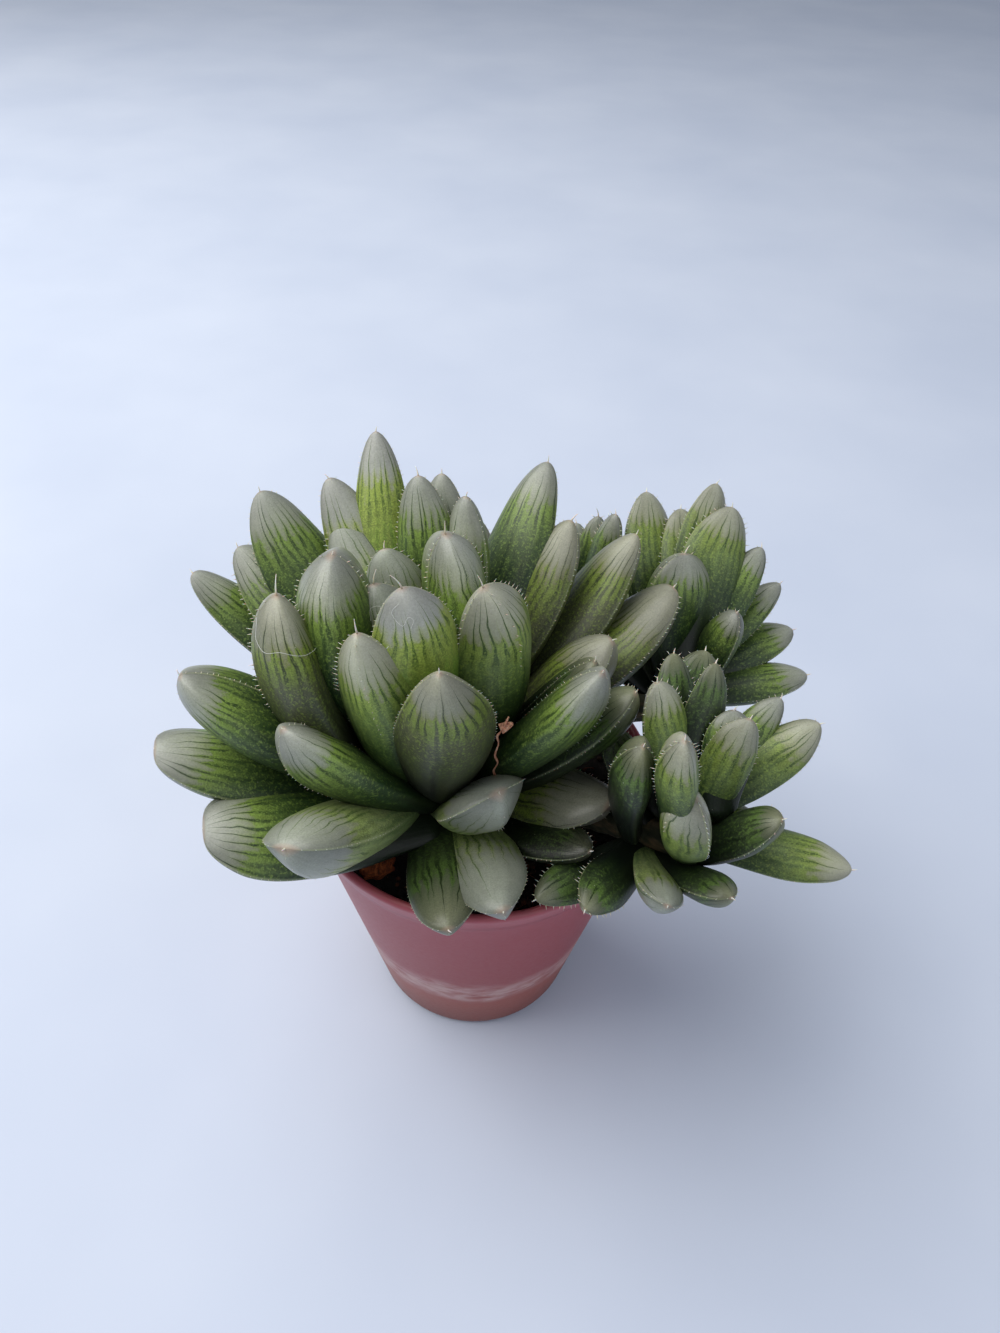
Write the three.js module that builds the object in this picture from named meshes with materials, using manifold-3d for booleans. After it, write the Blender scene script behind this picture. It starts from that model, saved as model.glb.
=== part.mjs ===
// A potted haworthia: four rosettes of thick, windowed leaves in a small plastic nursery pot.
// Millimetres and degrees. The origin is the middle of the pot's base, +Z is up,
// and headings run anticlockwise from +X (the plant's right) through +Y (its back).

import * as THREE from "three";
import { mergeVertices } from "three/addons/utils/BufferGeometryUtils.js";
import Module from "manifold-3d";

const wasm = await Module();
wasm.setup();

// The 5.5 cm pot: a cone with a thicker collar at the rim and drainage holes round its base
const POT = {
  height: 50,
  rimRadius: 27.5,
  baseRadius: 18.1,
  wall: 1.1,
  floor: 1.4,
  corner: 2.2,
  collarHeight: 3.4,
  collarStep: 0.5,
  sides: 40,
  holes: 6,
  holeRadius: 1.9,
  holeRing: 11.5,
};

// What lies against its neighbour keeps this much air
const GAP = 0.3;

const SOIL = { level: 44.8, relief: 0.55, sides: 24, seed: 7 };

const CHIP = { length: 5.4, width: 3.4, thickness: 1.5, sink: 0.5 };
// Where each bark chip lies: x, y, the heading of its long side, its size against CHIP
const CHIPS = [
  [-14, -16, 35, 1],
  [2.5, -20.6, 10, 0.85],
  [21, -2.5, 75, 0.9],
  [-19, 9, 120, 1],
  [-3, 20.5, 160, 0.9],
];

// A leaf is boat-shaped. Its sections are a flat lens above and a keeled belly below.
const LEAF = {
  stations: [0, 0.2, 0.4, 0.58, 0.79, 0.93],
  sides: 8,
  widestAt: 0.58,
  baseWidth: 0.62,
  tipPower: 0.56,
  top: 0.1,
  crown: 0.12,
  belly: 0.37,
  bellyAtFoot: 0.7,
  keelFrom: 0.45,
  focus: 45,
  sink: 2.2,
};

const SKIN = { leaf: "#5f7a45", soil: "#1d1815", chip: "#8a4a28", pot: "#9c5148", dry: "#b08a5c" };

// Each rosette: its stem's foot in the soil, its crown, the way it leans, and its tiers of leaves.
// A tier has its height from the crown along the stem, its leaves' bend and how far out they root.
// A leaf is [heading, rise, length, width, shift sideways, turn about its own length, tip power].
// A lower tip power makes a blunter end.
const ROSETTES = {
  rosette_main: {
    foot: [-4.5, -5, 34],
    crown: [-7, -4, 62],
    lean: [156, 13],
    stem: 4,
    heart: 5.2,
    heartFrom: -14,
    heartTo: 5,
    tiers: {
      heart: {
        height: 5, bend: 8, out: 3.5,
        leaves: [
          [125, 38, 27, 10, 1], [120, 62, 21, 9.5, 1], [98, 82, 25, 14.5, 4], [156, 82, 20.5, 11, -0.5],
        ],
      },
      upper: {
        height: 1.5, bend: 13, out: 3.5,
        leaves: [
          [100, 48, 40.5, 8.5, -4], [127, 43, 36, 9.5, 2.5], [101, 62, 33.5, 10, 1.5],
          [149, 28, 35, 12.5, 1], [150, 75, 29.5, 18, -4, 2, 0.48], [247, 82, 32, 12.5, -1.5],
          [72, 98, 28.5, 13.5, 8.2, 12], [62, 40, 40, 11.5],
        ],
      },
      middle: {
        height: -2.5, bend: 15, out: 4,
        leaves: [
          [137, 41, 41.5, 13, -1], [90, 60, 37, 9.5], [77, 69, 35, 9.5], [49, 46, 35.5, 11.5],
        ],
      },
      bowed: { height: -4, bend: 30, out: 8, leaves: [[177, 72, 34, 15, -5, 8]] },
      lower: {
        height: -6, bend: 17, out: 4,
        leaves: [
          [161, 29, 42, 9.5, 4, -4, 0.46], [226, 75, 35.5, 11.5, -1, 3, 0.62],
          [276, 70, 36.5, 13, 0, 20, 0.7], [38, 39, 41.5, 12, -1], [31, 30, 40, 13.5, 1.5, 0, 0.42],
          [12, 44, 29, 13.5, -1], [206, 49, 28, 13, -4.5], [192, 38, 37, 15.5],
          [344, 55, 32.5, 12.5, 1, 7], [357, 53, 28.5, 10], [112, 38, 37, 11.5], [84, 36, 36, 11.5],
          [136, 29, 38, 11.5],
        ],
      },
      skirt: {
        height: -9.5, bend: 17, out: 4,
        leaves: [
          [195, 21, 38, 14, 2, 4, 0.32], [200, 16, 32, 15, -6, 25, 0.32],
          [243, 31, 31, 15, 4, -10, 0.4], [353, 46, 32, 12], [329, 20, 23, 11.5, -3.5, 0, 0.5],
          [301, 50, 21.5, 12.5, 1, 3], [157, 14, 28, 11], [122, 15, 35, 12], [93, 18, 33, 11.5],
        ],
      },
      ground: {
        height: -12.5, bend: 13, out: 4,
        leaves: [[286, 23, 27, 10.5, -1, 0, 0.6], [280, 17, 25.5, 10, 3], [321, 22, 24, 8.5]],
      },
    },
  },
  rosette_front_right: {
    foot: [12.5, -8, 36],
    crown: [29, -17, 60],
    lean: [325, 18],
    stem: 2.2,
    heart: 3.2,
    heartFrom: -6.5,
    heartTo: 2,
    tiers: {
      heart: {
        height: 1, bend: 7, out: 2.5,
        leaves: [
          [220, 77, 23.5, 9, -2], [85, 58, 14, 8, 4.5], [125, 62, 18.5, 8, 1], [94, 42, 21, 7, -1],
          [77, 54, 20, 6, -0.5],
        ],
      },
      middle: {
        height: -2, bend: 9, out: 2.5,
        leaves: [
          [243, 80, 20, 10, 5.5], [249, 71, 18.5, 9.5, -1.5], [45, 65, 17.5, 7, 1],
          [73, 39, 23.5, 10, -2.5],
        ],
      },
      outer: {
        height: -4.5, bend: 11, out: 2.5,
        leaves: [[24, 29, 24, 8, -2.5], [42, 35, 23, 6.5, -1], [130, 40, 16, 7]],
      },
      skirt: {
        height: -7, bend: 11, out: 2,
        leaves: [
          [345, 0, 24, 8, -3.5], [337, 48, 18, 8], [215, 4, 19.5, 6.5, 1.5], [237, 14, 17, 7, 2.5, 4],
          [272, 29, 15, 7, 2.5], [303, 27, 14, 7, 1.5], [62, 18, 20, 8], [15, 12, 12, 7],
        ],
      },
    },
  },
  rosette_back_right: {
    foot: [13.5, 6.5, 36],
    crown: [31, 10, 62],
    lean: [17, 20],
    stem: 2.2,
    heart: 3,
    heartFrom: -7,
    heartTo: 2,
    tiers: {
      heart: {
        height: 1, bend: 9, out: 2,
        leaves: [[100, 39, 24.5, 10, 3], [70, 48, 25, 10.5]],
      },
      middle: {
        height: -1.5, bend: 10, out: 2.5,
        leaves: [[103, 42, 29, 11], [77, 49, 30, 8.5], [92, 66, 19, 13.5, 0, 12], [50, 43, 23, 6.5]],
      },
      outer: {
        height: -5, bend: 11, out: 2,
        leaves: [
          [30, 32, 24, 6.5, -3.5], [17, 14, 22, 8.5, -5], [6, 6, 21, 8.5, -2], [17, 67, 17.5, 8],
          [62, 22, 22, 8.5], [100, 16, 22, 9], [140, 24, 17, 8],
        ],
      },
    },
  },
  rosette_back_small: {
    foot: [8, 13.5, 36],
    crown: [14, 20, 58],
    lean: [60, 15],
    stem: 2,
    heart: 2.6,
    heartFrom: -6,
    heartTo: 1.5,
    tiers: {
      heart: {
        height: 0, bend: 8, out: 1.5,
        leaves: [[77, 59, 21, 6, 1], [51, 70, 23, 7], [88, 50, 19.5, 7], [135, 66, 15, 6.5]],
      },
      outer: {
        height: -4, bend: 11, out: 1.5,
        leaves: [
          [120, 32, 19, 8], [86, 22, 21, 8.5], [52, 24, 20, 8], [150, 24, 16, 7.5], [18, 26, 17, 7.5],
          [200, 40, 12, 6.5],
        ],
      },
    },
  },
};

// The dry remnant of a flower stalk between the front leaves: its path, and half its width on the way
const DRY_STALK = {
  path: [[1, -10, 57], [2.7, -14.5, 64], [2.8, -14.2, 68.4], [3, -13.2, 72], [4.9, -11.6, 75.4]],
  halfWidth: [0.5, 0.5, 0.5, 1.5, 0.4],
  halfThickness: 0.45,
};

const rad = THREE.MathUtils.degToRad;
const lerp = THREE.MathUtils.lerp;

// A unit vector from its heading round the vertical and its rise over the level
function heading(degrees, rise) {
  const flat = Math.cos(rad(rise));
  return new THREE.Vector3(
    flat * Math.cos(rad(degrees)),
    flat * Math.sin(rad(degrees)),
    Math.sin(rad(rise)),
  );
}

// A geometry as a solid that can be joined and cut
function solidOf(geometry) {
  const bare = geometry.clone();
  bare.deleteAttribute("normal");
  bare.deleteAttribute("uv");
  const merged = mergeVertices(bare, 1e-4);
  return new wasm.Manifold(
    new wasm.Mesh({
      numProp: 3,
      vertProperties: merged.attributes.position.array,
      triVerts: new Uint32Array(merged.index.array),
    }),
  );
}

// Joins solids into one
function joined(solids) {
  return solids.reduce((whole, next) => whole.add(next));
}

// The largest body of a solid: what a cut leaves loose is dropped
function largest(solid) {
  return solid.decompose().reduce((best, body) => (body.volume() > best.volume() ? body : best));
}

// A named mesh from a solid
function meshOf(name, solid, color, roughness) {
  const { vertProperties, triVerts } = solid.getMesh();
  const geometry = new THREE.BufferGeometry();
  geometry.setAttribute("position", new THREE.BufferAttribute(new Float32Array(vertProperties), 3));
  geometry.setIndex(new THREE.BufferAttribute(new Uint32Array(triVerts), 1));
  geometry.computeVertexNormals();
  const material = new THREE.MeshStandardMaterial({ color, roughness, metalness: 0 });
  const mesh = new THREE.Mesh(geometry, material);
  mesh.name = name;
  return mesh;
}

// A closed skin over rings with equal numbers of points, capped by a point at each end.
// Seen from the last end, each ring runs anticlockwise.
function skinOver(rings, first, last) {
  const points = [...rings.flat(), first, last];
  const sides = rings[0].length;
  const firstPole = points.length - 2;
  const lastPole = points.length - 1;
  const lastRing = (rings.length - 1) * sides;
  const faces = [];
  for (let j = 0; j < sides; j += 1) {
    const next = (j + 1) % sides;
    faces.push(firstPole, next, j);
    faces.push(lastPole, lastRing + j, lastRing + next);
    for (let i = 0; i < lastRing; i += sides) {
      faces.push(i + j, i + next, i + sides + next);
      faces.push(i + j, i + sides + next, i + sides + j);
    }
  }
  const geometry = new THREE.BufferGeometry().setFromPoints(points);
  geometry.setIndex(faces);
  return solidOf(geometry);
}

// A round bar along a curve, with its radius as a function of the way along it from 0 to 1
function barAlong(curve, radiusAt, steps, sides) {
  const frames = curve.computeFrenetFrames(steps, false);
  const rings = frames.tangents.map((_, i) => {
    const centre = curve.getPointAt(i / steps);
    return Array.from({ length: sides }, (_unused, j) => {
      const turn = (2 * Math.PI * j) / sides;
      return centre
        .clone()
        .addScaledVector(frames.normals[i], radiusAt(i / steps) * Math.cos(turn))
        .addScaledVector(frames.binormals[i], radiusAt(i / steps) * Math.sin(turn));
    });
  });
  return skinOver(rings, curve.getPointAt(0), curve.getPointAt(1));
}

// The pot's outer radius at a height on its wall
function potRadius(z) {
  return lerp(POT.baseRadius, POT.rimRadius, z / POT.height) - POT.collarStep;
}

// The pot: one turned shell with a rounded lower corner, a collar and a rounded lip
function pot() {
  const { height, rimRadius, wall, floor, corner, collarHeight, collarStep } = POT;
  const collarFoot = height - collarHeight;
  const lip = wall / 2 + collarStep / 4;
  const profile = [new THREE.Vector2(0, 0)];
  for (const turn of [-90, -60, -30, -6]) {
    profile.push(
      new THREE.Vector2(
        potRadius(0) - corner + corner * Math.cos(rad(turn)),
        corner + corner * Math.sin(rad(turn)),
      ),
    );
  }
  profile.push(
    new THREE.Vector2(potRadius(collarFoot), collarFoot - collarStep / 2),
    new THREE.Vector2(potRadius(collarFoot) + collarStep, collarFoot),
    new THREE.Vector2(rimRadius, height - lip),
    new THREE.Vector2(rimRadius - lip * 0.3, height - lip * 0.3),
    new THREE.Vector2(rimRadius - lip, height),
    new THREE.Vector2(rimRadius - lip * 2, height - lip * 0.6),
    new THREE.Vector2(potRadius(collarFoot) - wall, collarFoot),
    new THREE.Vector2(potRadius(corner) - wall, floor + corner * 0.5),
    new THREE.Vector2(potRadius(0) - wall - corner * 0.6, floor),
    new THREE.Vector2(0, floor),
  );
  const turned = new THREE.LatheGeometry(profile, POT.sides);
  turned.rotateX(Math.PI / 2);
  let shell = solidOf(turned);
  for (let i = 0; i < POT.holes; i += 1) {
    const drill = new THREE.CylinderGeometry(POT.holeRadius, POT.holeRadius, floor * 4, 12);
    drill.rotateX(Math.PI / 2);
    const at = heading((360 * (i + 0.5)) / POT.holes, 0).multiplyScalar(POT.holeRing);
    drill.translate(at.x, at.y, 0);
    shell = shell.subtract(solidOf(drill));
  }
  return shell;
}

// The soil: it fills the pot, with a rough top that rises and falls by SOIL.relief
function soil() {
  const { level, relief, sides, seed } = SOIL;
  THREE.MathUtils.seededRandom(seed);
  const bottom = POT.floor + GAP;
  const inner = (z) => potRadius(z) - POT.wall - GAP;
  const ring = (radius, height) =>
    Array.from({ length: sides }, (_, j) => {
      const at = heading((360 * j) / sides, 0).multiplyScalar(radius);
      at.z = height();
      return at;
    });
  const rough = () => level + relief * (2 * THREE.MathUtils.seededRandom() - 1);
  const rings = [
    ring(inner(0) - POT.corner * 0.6, () => bottom),
    ring(inner(POT.corner), () => POT.floor + POT.corner * 0.5 + GAP),
    ring(inner(level), () => level - relief),
  ];
  for (const share of [0.85, 0.66, 0.45, 0.22]) {
    rings.push(ring(inner(level) * share, rough));
  }
  return skinOver(rings, new THREE.Vector3(0, 0, bottom), new THREE.Vector3(0, 0, level));
}

// A bark chip: a flake with an uneven outline, swollen by grow on every side
function chip([x, y, turn, size], grow = 0) {
  const outline = [[-1, -0.5], [-0.3, -1], [0.7, -0.8], [1, 0.2], [0.4, 1], [-0.7, 0.8]];
  const shape = new THREE.Shape(
    outline.map(
      ([along, across]) =>
        new THREE.Vector2(
          along * (CHIP.length * 0.5 * size + grow),
          across * (CHIP.width * 0.5 * size + grow),
        ),
    ),
  );
  const depth = CHIP.thickness + 2 * grow;
  const flake = new THREE.ExtrudeGeometry(shape, { depth, bevelEnabled: false });
  flake.translate(0, 0, -grow);
  flake.rotateX(rad(6));
  flake.rotateZ(rad(turn));
  flake.translate(x, y, SOIL.level - CHIP.sink);
  return solidOf(flake);
}

// Half the width of a leaf at a share of its length, against half its greatest width
function leafOutline(share, tipPower) {
  const { widestAt, baseWidth } = LEAF;
  if (share < widestAt) {
    return baseWidth + (1 - baseWidth) * Math.sin((Math.PI / 2) * (share / widestAt)) ** 1.3;
  }
  return (1 - ((share - widestAt) / (1 - widestAt)) ** 2) ** tipPower;
}

// A leaf: it arches up along its length, its flat face turned to the rosette's axis.
// grow swells it on every side.
function leaf(rosette, tier, row, grow = 0) {
  const [bearing, rise, length, width, shift = 0, turn = 0, tipPower = LEAF.tipPower] = row;
  const [leanHeading, leanAngle] = rosette.lean;
  const axis = heading(leanHeading, 90 - leanAngle);
  const crown = new THREE.Vector3(...rosette.crown);
  const along = heading(bearing, rise);
  const root = crown
    .clone()
    .addScaledVector(axis, tier.height)
    .addScaledVector(heading(bearing, 0), tier.out)
    .addScaledVector(heading(bearing - 90, 0), shift);
  const middle = root.clone().addScaledVector(along, length / 2);
  const inward = crown.clone().addScaledVector(axis, tier.height + LEAF.focus).sub(middle);
  const face = inward.addScaledVector(along, -inward.dot(along)).normalize();
  const across = new THREE.Vector3().crossVectors(face, along);
  const half = rad(tier.bend) / 2;
  const point = (share, side, up) => {
    const q = 2 * half * (share - 0.5);
    const forward = (length * (Math.sin(q) + Math.sin(half))) / (2 * Math.sin(half));
    const back = (length * (Math.cos(q) - Math.cos(half))) / (2 * Math.sin(half));
    const normal = along.clone().multiplyScalar(-Math.sin(q)).addScaledVector(face, Math.cos(q));
    const widthWay = across.clone().multiplyScalar(Math.cos(rad(turn)));
    widthWay.addScaledVector(normal, -Math.sin(rad(turn)));
    const faceWay = normal.multiplyScalar(Math.cos(rad(turn)));
    faceWay.addScaledVector(across, Math.sin(rad(turn)));
    return root
      .clone()
      .addScaledVector(along, forward)
      .addScaledVector(face, -back)
      .addScaledVector(widthWay, side)
      .addScaledVector(faceWay, up);
  };
  const rings = LEAF.stations.map((share) => {
    const late = Math.max((share - 0.6) / 0.4, 0);
    const taper = (1 - late ** 2.6) ** 0.6;
    const swell = Math.sin((Math.PI / 2) * Math.min(share / 0.7, 1)) ** 2;
    const top = width * (LEAF.top + LEAF.crown * swell) * taper + grow;
    const fullness = lerp(LEAF.bellyAtFoot, 1, Math.sin((Math.PI / 2) * Math.min(share / 0.5, 1)));
    const belly = width * LEAF.belly * fullness * taper + grow;
    const keel = 0.5 * THREE.MathUtils.clamp((share - LEAF.keelFrom) / 0.45, 0, 1);
    const reach = (width / 2) * leafOutline(share, tipPower) + grow;
    return Array.from({ length: LEAF.sides }, (_, j) => {
      const x = Math.cos((2 * Math.PI * j) / LEAF.sides);
      const lens = Math.max(1 - x * x, 0) ** 0.7;
      const below = (1 - keel) * lens + keel * (1 - Math.abs(x));
      return point(share, reach * x, j < LEAF.sides / 2 ? top * lens : -belly * below);
    });
  });
  const base = root.clone().addScaledVector(along, -LEAF.sink).addScaledVector(face, LEAF.sink / 2);
  const tip = point(1, 0, 0).addScaledVector(along, grow);
  return skinOver(rings, base, tip);
}

// A rosette's stem with the heart that its leaves grow from, swollen by grow
function stem(rosette, grow = 0) {
  const [leanHeading, leanAngle] = rosette.lean;
  const axis = heading(leanHeading, 90 - leanAngle);
  const crown = new THREE.Vector3(...rosette.crown);
  const foot = new THREE.Vector3(...rosette.foot);
  const heartFoot = crown.clone().addScaledVector(axis, rosette.heartFrom);
  const heartTop = crown.clone().addScaledVector(axis, rosette.heartTo + grow);
  const bend = new THREE.Vector3(foot.x, foot.y, heartFoot.z);
  const stalk = barAlong(
    new THREE.QuadraticBezierCurve3(foot, bend, heartFoot.clone().addScaledVector(axis, 1)),
    () => rosette.stem + grow,
    6,
    10,
  );
  const heart = barAlong(
    new THREE.LineCurve3(heartFoot, heartTop),
    (share) => rosette.heart * (1 - 0.45 * share ** 2) + grow,
    4,
    12,
  );
  return stalk.add(heart);
}

// A whole rosette as one body, swollen by grow
function rosetteSolid(rosette, grow = 0) {
  const leaves = Object.values(rosette.tiers).flatMap((tier) =>
    tier.leaves.map((row) => leaf(rosette, tier, row, grow)),
  );
  return joined([stem(rosette, grow), ...leaves]);
}

// The dry stalk: a thin strip along its path
function dryStalk() {
  const curve = new THREE.CatmullRomCurve3(DRY_STALK.path.map((p) => new THREE.Vector3(...p)));
  const steps = 8;
  const spans = DRY_STALK.halfWidth.length - 1;
  const rings = Array.from({ length: steps + 1 }, (_, i) => {
    const share = i / steps;
    const centre = curve.getPoint(share);
    const k = Math.min(Math.floor(share * spans), spans - 1);
    const half = lerp(DRY_STALK.halfWidth[k], DRY_STALK.halfWidth[k + 1], share * spans - k);
    return [[half, 0], [0, DRY_STALK.halfThickness], [-half, 0], [0, -DRY_STALK.halfThickness]].map(
      ([x, y]) => centre.clone().add(new THREE.Vector3(x, y, 0)),
    );
  });
  return skinOver(rings, curve.getPoint(0), curve.getPoint(1));
}

const group = new THREE.Group();

const potSolid = pot();
group.add(meshOf("pot", potSolid, SKIN.pot, 0.4));

let soilSolid = soil();
for (const rosette of Object.values(ROSETTES)) {
  soilSolid = soilSolid.subtract(stem(rosette, GAP));
}
CHIPS.forEach((place, i) => {
  soilSolid = soilSolid.subtract(chip(place, GAP));
  group.add(meshOf(`bark_chip_${i + 1}`, chip(place), SKIN.chip, 0.9));
});
group.add(meshOf("soil", largest(soilSolid), SKIN.soil, 1));

// Each rosette gives way to the ones before it, where their leaves would cross
let taken = null;
for (const [name, rosette] of Object.entries(ROSETTES)) {
  let solid = rosetteSolid(rosette);
  if (taken) {
    solid = solid.subtract(taken);
  }
  group.add(meshOf(name, largest(solid), SKIN.leaf, 0.45));
  const swollen = rosetteSolid(rosette, GAP);
  taken = taken ? taken.add(swollen) : swollen;
}
group.add(meshOf("dry_stalk", largest(dryStalk().subtract(taken)), SKIN.dry, 0.9));

export default group;
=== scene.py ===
"""A potted haworthia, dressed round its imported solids.

Four rosettes of thick leaves with see-through windows stand in a small plastic nursery pot of
dark potting mix. Sizes in the classes are millimetres, as the grower would measure them, and one
function turns them to metres where a mesh is made. Headings run anticlockwise from +X, the
plant's right, through +Y, its back.
"""

import logging
import math
from dataclasses import dataclass, field
from enum import Enum
from typing import Any

import bpy
import numpy as np
from mathutils import Matrix


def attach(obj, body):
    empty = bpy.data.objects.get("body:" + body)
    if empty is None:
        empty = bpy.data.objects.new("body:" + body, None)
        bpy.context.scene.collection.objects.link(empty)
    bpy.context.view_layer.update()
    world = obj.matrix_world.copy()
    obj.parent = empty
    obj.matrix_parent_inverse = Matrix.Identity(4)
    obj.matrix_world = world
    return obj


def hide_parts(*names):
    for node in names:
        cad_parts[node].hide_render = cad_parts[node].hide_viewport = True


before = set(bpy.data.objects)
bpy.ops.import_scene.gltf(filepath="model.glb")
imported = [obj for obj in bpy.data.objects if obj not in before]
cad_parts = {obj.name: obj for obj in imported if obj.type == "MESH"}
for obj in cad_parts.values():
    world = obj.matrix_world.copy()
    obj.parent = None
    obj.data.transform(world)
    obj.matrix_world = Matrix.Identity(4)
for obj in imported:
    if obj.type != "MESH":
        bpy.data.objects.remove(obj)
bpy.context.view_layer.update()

logging.basicConfig(level=logging.INFO, format="%(message)s")
log = logging.getLogger("haworthia")

MM = 0.001
OFF_WAY = np.array([0.31, -0.53, 0.79])  # a way that no strand runs along


# Meshes

def heading(bearing: float, rise: float) -> np.ndarray:
    """A unit vector from its heading round the vertical and its rise over the level.

    Args:
        bearing: degrees anticlockwise from +X.
        rise: degrees above the level.

    Returns:
        The vector, (cos r cos b, cos r sin b, sin r).
    """
    b, r = math.radians(bearing), math.radians(rise)
    return np.array([math.cos(r) * math.cos(b), math.cos(r) * math.sin(b), math.sin(r)])


def unit(vectors: np.ndarray) -> np.ndarray:
    """Vectors over their own lengths, along the last axis."""
    return vectors / np.maximum(np.linalg.norm(vectors, axis=-1, keepdims=True), 1e-12)


def smooth(low: float, high: float, x: np.ndarray) -> np.ndarray:
    """The smooth step 3t^2 - 2t^3.

    Args:
        low, high: where t is 0 and where it is 1.
        x: the places.

    Returns:
        The step at each place.
    """
    t = np.clip((x - low) / (high - low), 0, 1)
    return t * t * (3 - 2 * t)


@dataclass
class Skin:
    """Points in millimetres and the faces over them, with what the materials read.

    Fields:
        points: an array of n rows of x, y, z.
        faces: arrays of point numbers, each with three or four columns.
        uv: n rows of the piece's own surface coordinates.
        marks: named values, one a point.
    """

    points: np.ndarray
    faces: list[np.ndarray]
    uv: np.ndarray | None = None
    marks: dict[str, np.ndarray] = field(default_factory=dict)

    def marked(self, **values: Any) -> "Skin":
        """Adds marks to the skin.

        Args:
            values: the marks by name, each a number or an array with one value a point.

        Returns:
            The same skin.
        """
        for name, value in values.items():
            self.marks[name] = np.broadcast_to(np.asarray(value, float), len(self.points))
        return self


def merged(skins: list[Skin]) -> Skin:
    """Joins several skins.

    Args:
        skins: the skins, in the order that their points will have.

    Returns:
        One skin, with the marks that they all have.
    """
    starts = np.cumsum([0] + [len(s.points) for s in skins])
    faces = [f + start for s, start in zip(skins, starts) for f in s.faces]
    names = set.intersection(*[set(s.marks) for s in skins])
    marks = {n: np.concatenate([s.marks[n] for s in skins]) for n in sorted(names)}
    return Skin(np.concatenate([s.points for s in skins]), faces, marks=marks)


def tube_skin(rings: np.ndarray, first: np.ndarray, last: np.ndarray) -> Skin:
    """A closed skin over rings of points, each anticlockwise as seen from the last ring.

    Args:
        rings: an array of shape (rings, points a ring, 3).
        first, last: the points that close the first and the last ring.

    Returns:
        The skin, its points in ring order with the two poles at the end.
    """
    n, m, _ = rings.shape
    index = np.arange(n * m).reshape(n, m)
    a, b = index[:-1], np.roll(index, -1, axis=1)[:-1]
    c, d = np.roll(index, -1, axis=1)[1:], index[1:]
    faces = [np.stack([a, b, c, d], axis=-1).reshape(-1, 4)]
    faces.append(np.stack([np.full(m, n * m), np.roll(index[0], -1), index[0]], axis=-1))
    faces.append(np.stack([np.full(m, n * m + 1), index[-1], np.roll(index[-1], -1)], axis=-1))
    return Skin(np.concatenate([rings.reshape(-1, 3), [first, last]]), faces)


def strand(path: np.ndarray, radius: np.ndarray, sides: int, flat: float = 1.0) -> Skin:
    """A round or flattened strand along a path: centre + radius (cos t side + flat sin t up).

    Args:
        path: an array of points along the strand.
        radius: half the width at each point.
        sides: the points in each ring.
        flat: the thickness against the width.

    Returns:
        The strand's skin, with the share of its length as the mark "along".
    """
    tangent = unit(np.gradient(path, axis=0))
    side = unit(np.cross(tangent, OFF_WAY))
    up = np.cross(side, tangent)
    turn = -2 * np.pi * np.arange(sides) / sides
    wide = np.cos(turn)[None, :, None] * side[:, None, :]
    deep = flat * np.sin(turn)[None, :, None] * up[:, None, :]
    rings = path[:, None, :] + radius[:, None, None] * (wide + deep)
    along = np.repeat(np.linspace(0, 1, len(path)), sides)
    return tube_skin(rings, path[0], path[-1]).marked(along=np.append(along, [0, 1]))


def spline(points: np.ndarray, steps: int) -> np.ndarray:
    """A Catmull-Rom curve through points, at evenly spaced parameters.

    Each span is 0.5 (2 p1 + (p2 - p0) t + (2 p0 - 5 p1 + 4 p2 - p3) t^2
    + (3 p1 - p0 - 3 p2 + p3) t^3), with the end points repeated.

    Args:
        points: the points that it passes through, a row each.
        steps: how many points it is cut into.

    Returns:
        The curve's points, a row each.
    """
    p = np.asarray(points, float)
    p = np.concatenate([p[:1], p, p[-1:]])
    at = np.linspace(0, len(p) - 3 - 1e-9, steps)
    k, t = at.astype(int), (at % 1)[:, None]
    p0, p1, p2, p3 = p[k], p[k + 1], p[k + 2], p[k + 3]
    square = (2 * p0 - 5 * p1 + 4 * p2 - p3) * t**2
    return 0.5 * (2 * p1 + (p2 - p0) * t + square + (3 * p1 - p0 - 3 * p2 + p3) * t**3)


def grain(x: np.ndarray, y: np.ndarray, cell: float, rng: np.random.Generator) -> np.ndarray:
    """Smooth value noise from -1 to 1 over a plane, on a square lattice.

    Args:
        x: places along X.
        y: places along Y.
        cell: the lattice's pitch, in the unit of x and y.
        rng: what draws the lattice's values.

    Returns:
        The noise at each place.
    """
    size, clear = 64, 1000.0  # the lattice repeats, and every place is clear of its corner
    values = rng.uniform(-1, 1, (size, size))
    u, v = x / cell + clear, y / cell + clear
    i, j = np.floor(u).astype(int), np.floor(v).astype(int)
    s, t = smooth(0, 1, u - i), smooth(0, 1, v - j)
    low = values[i % size, j % size] * (1 - s) + values[(i + 1) % size, j % size] * s
    high = values[i % size, (j + 1) % size] * (1 - s) + values[(i + 1) % size, (j + 1) % size] * s
    return low * (1 - t) + high * t


def mesh_of(name: str, skin: Skin) -> bpy.types.Mesh:
    """A mesh in metres from a skin in millimetres.

    Args:
        name: the mesh's name.
        skin: its points and faces.

    Returns:
        The new mesh.
    """
    mesh = bpy.data.meshes.new(name)
    faces = [row for block in skin.faces for row in block.tolist()]
    mesh.from_pydata((skin.points * MM).tolist(), [], faces)
    return mesh


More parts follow.
